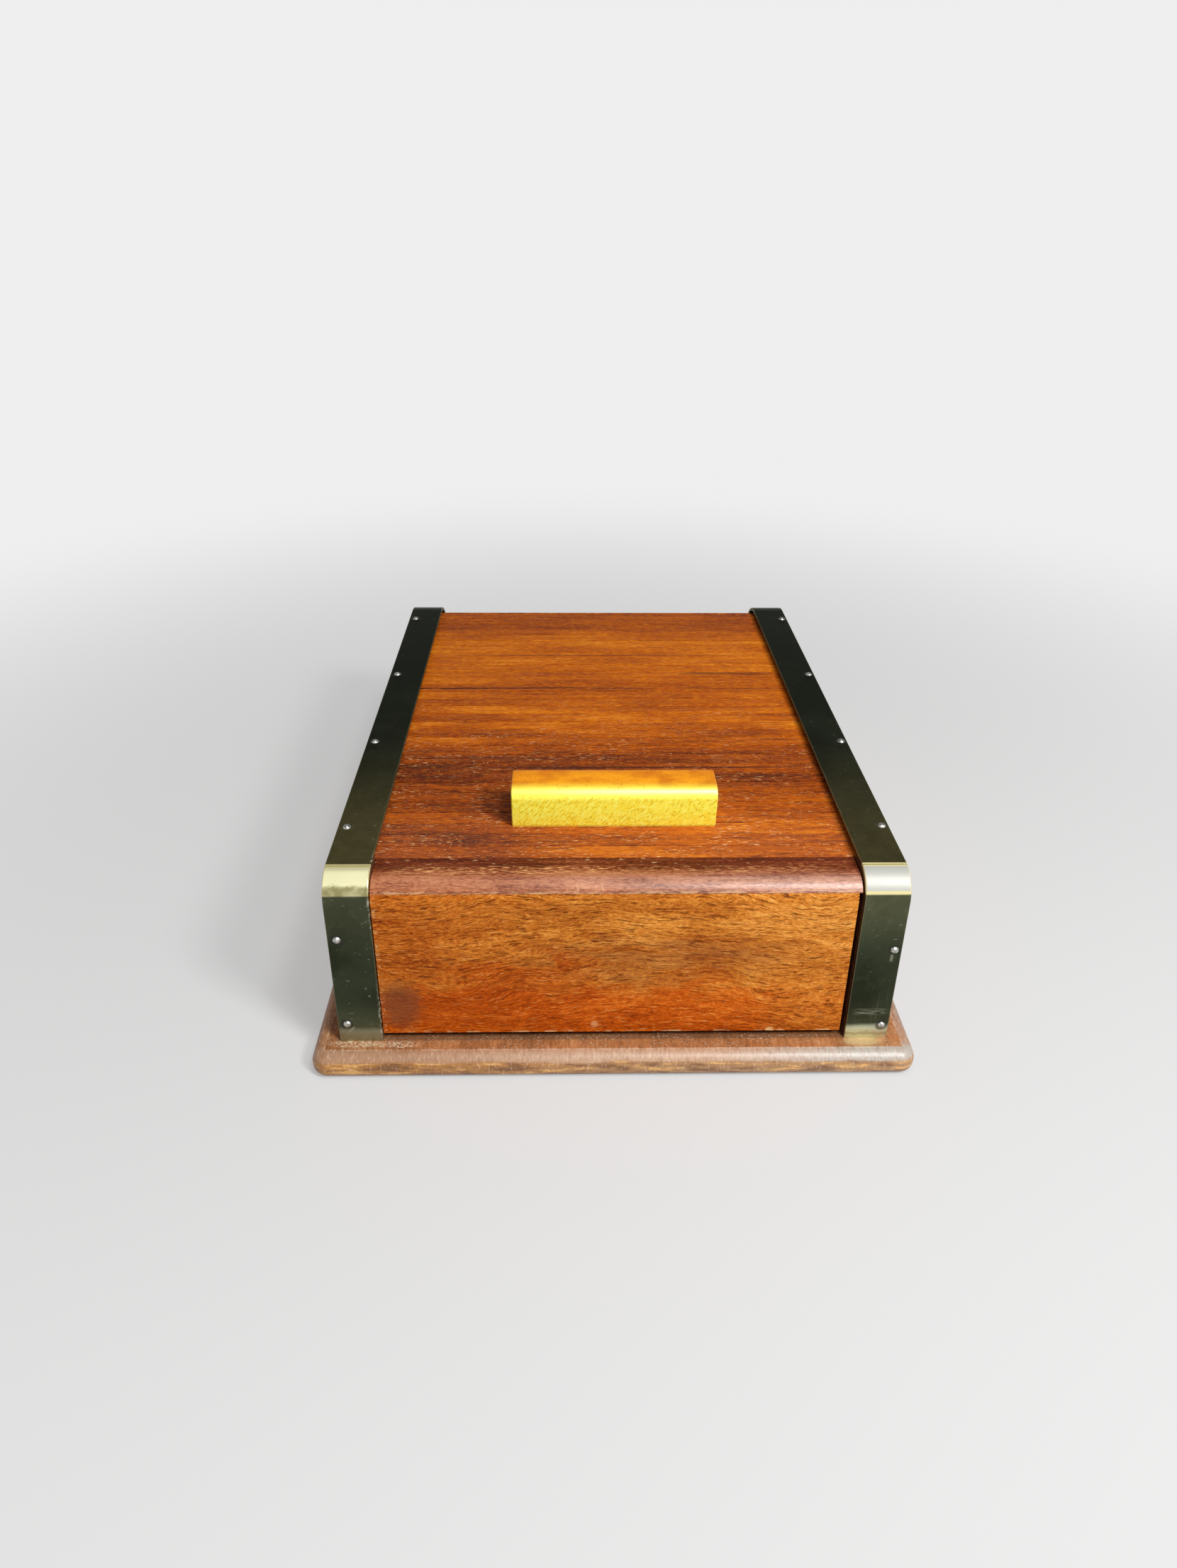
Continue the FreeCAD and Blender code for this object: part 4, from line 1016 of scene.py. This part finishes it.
def make_drawer_front(front_wood, nosing_wood):
    """Front board and the moulding along its top, cut from one rounded shape so that they meet flush."""
    front_low, front_high = corners("drawer_front")
    nosing_low, nosing_high = corners("drawer_nosing")
    for name, node, finish, slot, high, keep_upper in (
        ("figured_front", "drawer_front", front_wood, "front_mahogany", front_high, False),
        ("rounded_nosing", "drawer_nosing", nosing_wood, "nosing_rosewood", nosing_high, True),
    ):
        shape = board(front_low, (high.x, high.y, nosing_high.z))
        nose = edges_where(shape, lambda at: near(at.z, nosing_high.z) and near(at.y, front_low.y))
        rounded(shape, nose, NOSING_ROUND, steps=14)
        cut = bmesh.ops.bisect_plane(
            shape,
            geom=list(shape.verts) + list(shape.edges) + list(shape.faces),
            plane_co=(0, 0, nosing_low.z),
            plane_no=(0, 0, 1),
            clear_inner=keep_upper,
            clear_outer=not keep_upper,
        )
        rim = only(cut["geom_cut"], bmesh.types.BMEdge)
        bmesh.ops.holes_fill(shape, edges=rim)
        bmesh.ops.recalc_face_normals(shape, faces=shape.faces)
        paired = [edge for edge in shape.edges if len(edge.link_faces) == 2]
        sharp = [edge for edge in paired if edge.calc_face_angle() > SHARP_CORNER]
        rounded(shape, sharp, FRONT_ARRIS, steps=2)
        even_faces(finished(name, shape, finish, "drawer", [node]))


def make_handle(finish):
    low, high = corners("handle")
    shape = board((low.x, low.y - HANDLE_SWELL, low.z), (high.x, high.y + HANDLE_SWELL, high.z))
    middle = (low.y + high.y) / 2
    foot = [vert for vert in shape.verts if near(vert.co.z, low.z)]
    for vert in foot:
        vert.co.y += math.copysign(HANDLE_UNDERCUT, middle - vert.co.y)
    crown = [edge for edge in edges_where(shape, lambda at: near(at.z, high.z))
             if not near(edge.verts[0].co.x, edge.verts[1].co.x)]
    rounded(shape, crown, HANDLE_ROUND, steps=12)
    ends = edges_where(shape, lambda at: near(at.x, low.x))
    ends += edges_where(shape, lambda at: near(at.x, high.x))
    rounded(shape, ends, HANDLE_ARRIS, steps=3)
    even_faces(finished("satin_handle", shape, finish, "curtain", ["handle"]))


def curtain_place(distance):
    """Where on the curtain's path a slat's middle is, this far from the front seam, and its slope."""
    top = SLAT_LOW
    low = FLOOR_LINE
    drop = BACK_DROP
    quarter = BEND_ROUND * QUARTER_TURN
    flat = BEND_MIDDLE - SEAM
    if distance <= flat:
        return SEAM + distance, top, 0.0
    if distance <= flat + quarter:
        angle = (distance - flat) / BEND_ROUND
        return BEND_MIDDLE + BEND_ROUND * math.sin(angle), top - BEND_ROUND * (1 - math.cos(angle)), angle
    if distance <= flat + quarter + drop:
        return BEND_MIDDLE + BEND_ROUND, top - BEND_ROUND - (distance - flat - quarter), QUARTER_TURN
    if distance <= flat + 2 * quarter + drop:
        angle = QUARTER_TURN + (distance - flat - quarter - drop) / BEND_ROUND
        return BEND_MIDDLE + BEND_ROUND * math.sin(angle), low + BEND_ROUND * (1 + math.cos(angle)), angle
    return BEND_MIDDLE - (distance - flat - 2 * quarter - drop), low, math.pi


def add_slat(shape, index):
    """One slat in its place, a little uneven; its points carry their place on the curtain for the grain."""
    grain = shape.verts.layers.float_vector.get("grain") or shape.verts.layers.float_vector.new("grain")
    old = set(shape.verts)
    fresh = bmesh.ops.create_cube(shape, size=1.0)["verts"]
    width = SLAT_PITCH - SLAT_JOINT
    bmesh.ops.scale(shape, vec=(2 * SLAT_REACH, width, SLAT_THICK), verts=fresh)
    bmesh.ops.translate(shape, vec=(0, 0, SLAT_THICK / 2), verts=fresh)
    edges = {edge for vert in fresh for edge in vert.link_edges}
    rounded(shape, list(edges), SLAT_ARRIS, steps=2)
    fresh = [vert for vert in shape.verts if vert not in old]
    middle = (index + 0.5) * SLAT_PITCH
    for vert in fresh:
        vert[grain] = (vert.co.x, SEAM + middle + vert.co.y, SLAT_THICK - vert.co.z)
    along, up, angle = curtain_place(middle)
    lift = Matrix.Translation((0, 0, CHANCE.uniform(-SLAT_LIFT, SLAT_LIFT)))
    tilt = Matrix.Rotation(math.radians(CHANCE.uniform(-SLAT_TILT, SLAT_TILT)), 4, "X")
    place = Matrix.Translation((0, along, up)) @ Matrix.Rotation(-angle, 4, "X") @ lift @ tilt
    bmesh.ops.transform(shape, matrix=place, verts=fresh)


def make_slats(name, numbers, finish, body, node):
    shape = bmesh.new()
    for index in numbers:
        add_slat(shape, index)
    return even_faces(finished(name, shape, finish, body, [node]))


def make_flat_cloth(name, finish, body, node):
    low, high = corners(node)
    shape = bmesh.new()
    bmesh.ops.create_grid(shape, x_segments=40, y_segments=30, size=0.5)
    size = high - low
    bmesh.ops.scale(shape, vec=(size.x, size.y, 1), verts=shape.verts)
    bmesh.ops.translate(shape, vec=(low + high) / 2, verts=shape.verts)
    return canvas_piece(name, shape, finish, body, node, (size.x, size.y))


def canvas_piece(name, shape, finish, body, node, flat):
    piece = finished(name, shape, finish, body, [node])
    thickness = piece.modifiers.new("thickness", "SOLIDIFY")
    thickness.thickness = CLOTH_THICK * MM
    thickness.offset = 0.0
    flat[0] * MM
    flat[1] * MM
    return piece


def make_back_cloth(finish):
    """Canvas behind the slats that bend: over the back, down it, and forward under the case."""
    start = corners("rear_cloth")[1].y
    run = BEND_MIDDLE - corners("back_cloth")[0].y
    middle = CLOTH_THICK / 2
    top = SLAT_LOW - middle
    radius = BEND_ROUND - middle
    shape = bmesh.new()
    ends = [shape.verts.new((side * CLOTH_HALF_WIDTH, start, top)) for side in (-1, 1)]
    row = [shape.edges.new(ends)]
    row = run_out(shape, row, (0, BEND_MIDDLE - start, 0))
    upper = (0, BEND_MIDDLE, SLAT_LOW - BEND_ROUND)
    row = only(bent_over(shape, row, upper, steps=12), bmesh.types.BMEdge)
    row = run_out(shape, row, (0, 0, -BACK_DROP))
    lower = (0, BEND_MIDDLE, FLOOR_LINE + BEND_ROUND)
    row = only(bent_over(shape, row, lower, steps=12), bmesh.types.BMEdge)
    run_out(shape, row, (0, -run, 0))
    bmesh.ops.recalc_face_normals(shape, faces=shape.faces)
    across = [edge for edge in shape.edges if not near(edge.verts[0].co.x, edge.verts[1].co.x)]
    bmesh.ops.subdivide_edges(shape, edges=across, cuts=20, use_grid_fill=True)
    length = BEND_MIDDLE - start + math.pi * radius + BACK_DROP + run
    flat = (2 * CLOTH_HALF_WIDTH, length)
    canvas_piece("back_canvas", shape, finish, "case", "back_cloth", flat)


def run_out(shape, edges, move):
    """Draws a row of edges out along a straight run and returns the edges at its end."""
    grown = bmesh.ops.extrude_edge_only(shape, edges=edges)["geom"]
    verts = only(grown, bmesh.types.BMVert)
    bmesh.ops.translate(shape, vec=move, verts=verts)
    edges = only(grown, bmesh.types.BMEdge)
    return [edge for edge in edges if all(vert in verts for vert in edge.verts)]


def make_curtain(slat_wood, canvas):
    for index in range(FRONT_SLATS):
        name = f"{index + 1:02d}"
        make_slats(f"teak_slat_{name}", [index], slat_wood, "curtain", f"slat_{name}")
    rows = {}
    first = FRONT_SLATS
    for row, count in (("rear", REAR_SLATS), ("back", BACK_SLATS), ("under", UNDER_SLATS)):
        numbers = range(first, first + count)
        rows[row] = make_slats(f"{row}_slat_row", numbers, slat_wood, "case", f"{row}_slats")
        first += count

    make_flat_cloth("front_canvas", canvas, "curtain", "curtain_cloth")
    rear_cloth = make_flat_cloth("rear_canvas", canvas, "case", "rear_cloth")
    make_back_cloth(canvas)
    for piece in (rows["rear"], rear_cloth):
        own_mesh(piece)


def dress(names, finish):
    """Gives solids that keep their own shape their finish."""
    for name in names:
        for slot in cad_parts[name].material_slots:
            slot.material = finish


def make_pieces():
    make_plinth(plinth_finish())
    brass = brass_finish()
    pins = pin_finish()
    along_case = case_finish("case_mahogany", (1.6, 60, 1.6))
    for side in ("left", "right"):
        make_strip(side, brass)
        make_pins(side, pins)
        make_side_panel(side, along_case)
    make_drawer_front(front_finish(), nosing_finish())
    make_handle(handle_finish())
    make_curtain(slat_finish(), canvas_finish())

    dress(["left_lining", "right_lining"], lining_finish())
    dress(["back_board"], case_finish("case_mahogany_across", (60, 1.6, 1.6)))
    pine_along = drawer_finish("drawer_pine", (2.5, 90, 2.5))
    pine_across = drawer_finish("drawer_pine_across", (90, 2.5, 2.5))
    dress(["left_runner", "right_runner", "drawer_left_side", "drawer_right_side"], pine_along)
    dress(["stop_block", "drawer_back", "drawer_bottom"], pine_across)
    dress(["pull_bar"], case_finish("bar_teak", (50, 1.2, 1.2)))
    dress(["plinth_screws", "runner_screws", "handle_screws", "pull_bar_screws"], screw_finish())


def make_floor():
    shape = bmesh.new()
    bmesh.ops.create_circle(shape, cap_ends=True, segments=96, radius=FLOOR_RADIUS)
    mesh = bpy.data.meshes.new("floor")
    shape.to_mesh(mesh)
    shape.free()
    mesh.materials.append(floor_finish())
    floor = bpy.data.objects.new("floor", mesh)
    bpy.context.scene.collection.objects.link(floor)


def make_lamp(name, place, target, width, length, watts):
    lamp = bpy.data.lights.new(name, "AREA")
    lamp.shape = "RECTANGLE"
    lamp.size = width
    lamp.size_y = length
    lamp.energy = watts
    holder = bpy.data.objects.new(name, lamp)
    aim = (Vector(target) - Vector(place)).to_track_quat("-Z", "Y")
    holder.matrix_world = Matrix.Translation(place) @ aim.to_matrix().to_4x4()
    holder.visible_camera = False
    bpy.context.scene.collection.objects.link(holder)


def make_world():
    """Pale surroundings for the camera and reflections, shaded overhead, and a dim even light on the box."""
    world = bpy.data.worlds.new("studio")
    world.use_nodes = True
    bpy.context.scene.world = world
    sky = Recipe(world.node_tree)
    _, along, height = sky.parts(sky.node("ShaderNodeTexCoord", {}, {}).outputs["Generated"])
    before = along.ease(0.25, -0.25)
    backdrop = sky.blend((height - before * 0.5).ease(0.10, 0.34), PALE, SHADE_OVERHEAD)
    colour = sky.blend(seen_directly(sky), ROOM_LIGHT, backdrop)
    background = sky.node("ShaderNodeBackground", {}, {"Color": colour, "Strength": 1.0})
    sky.node("ShaderNodeOutputWorld", {}, {"Surface": background.outputs[0]})


def make_lights():
    for lamp in LAMPS:
        make_lamp(*lamp)
    make_world()


def make_camera():
    """Camera at the photograph's place, turned, dipped and leaning as fitted to the box's straight edges."""
    across, along, height = CAMERA_PLACE
    place = Vector((across, along, PLINTH_TOP + height)) * MM
    turn = math.radians(CAMERA_TURN)
    dip = math.radians(CAMERA_DIP)
    lean = math.radians(CAMERA_LEAN)
    ahead = Vector((math.sin(turn) * math.cos(dip), math.cos(turn) * math.cos(dip), -math.sin(dip)))
    level = Vector((math.cos(turn), -math.sin(turn), 0))
    upright = level.cross(ahead)
    right = level * math.cos(lean) + upright * math.sin(lean)
    up = upright * math.cos(lean) - level * math.sin(lean)
    lens = bpy.data.cameras.new("photo_camera")
    lens.sensor_fit = "AUTO"
    lens.sensor_width = SENSOR_LONG_SIDE
    lens.lens = CAMERA_LENS
    lens.clip_start = 0.01
    lens.clip_end = 50.0
    camera = bpy.data.objects.new("photo_camera", lens)
    turned = Matrix((right, up, -ahead)).transposed().to_4x4()
    camera.matrix_world = Matrix.Translation(place) @ turned
    bpy.context.scene.collection.objects.link(camera)
    bpy.context.scene.camera = camera


make_camera()
make_pieces()
make_floor()
make_lights()
bpy.context.scene.view_settings.view_transform = "Standard"
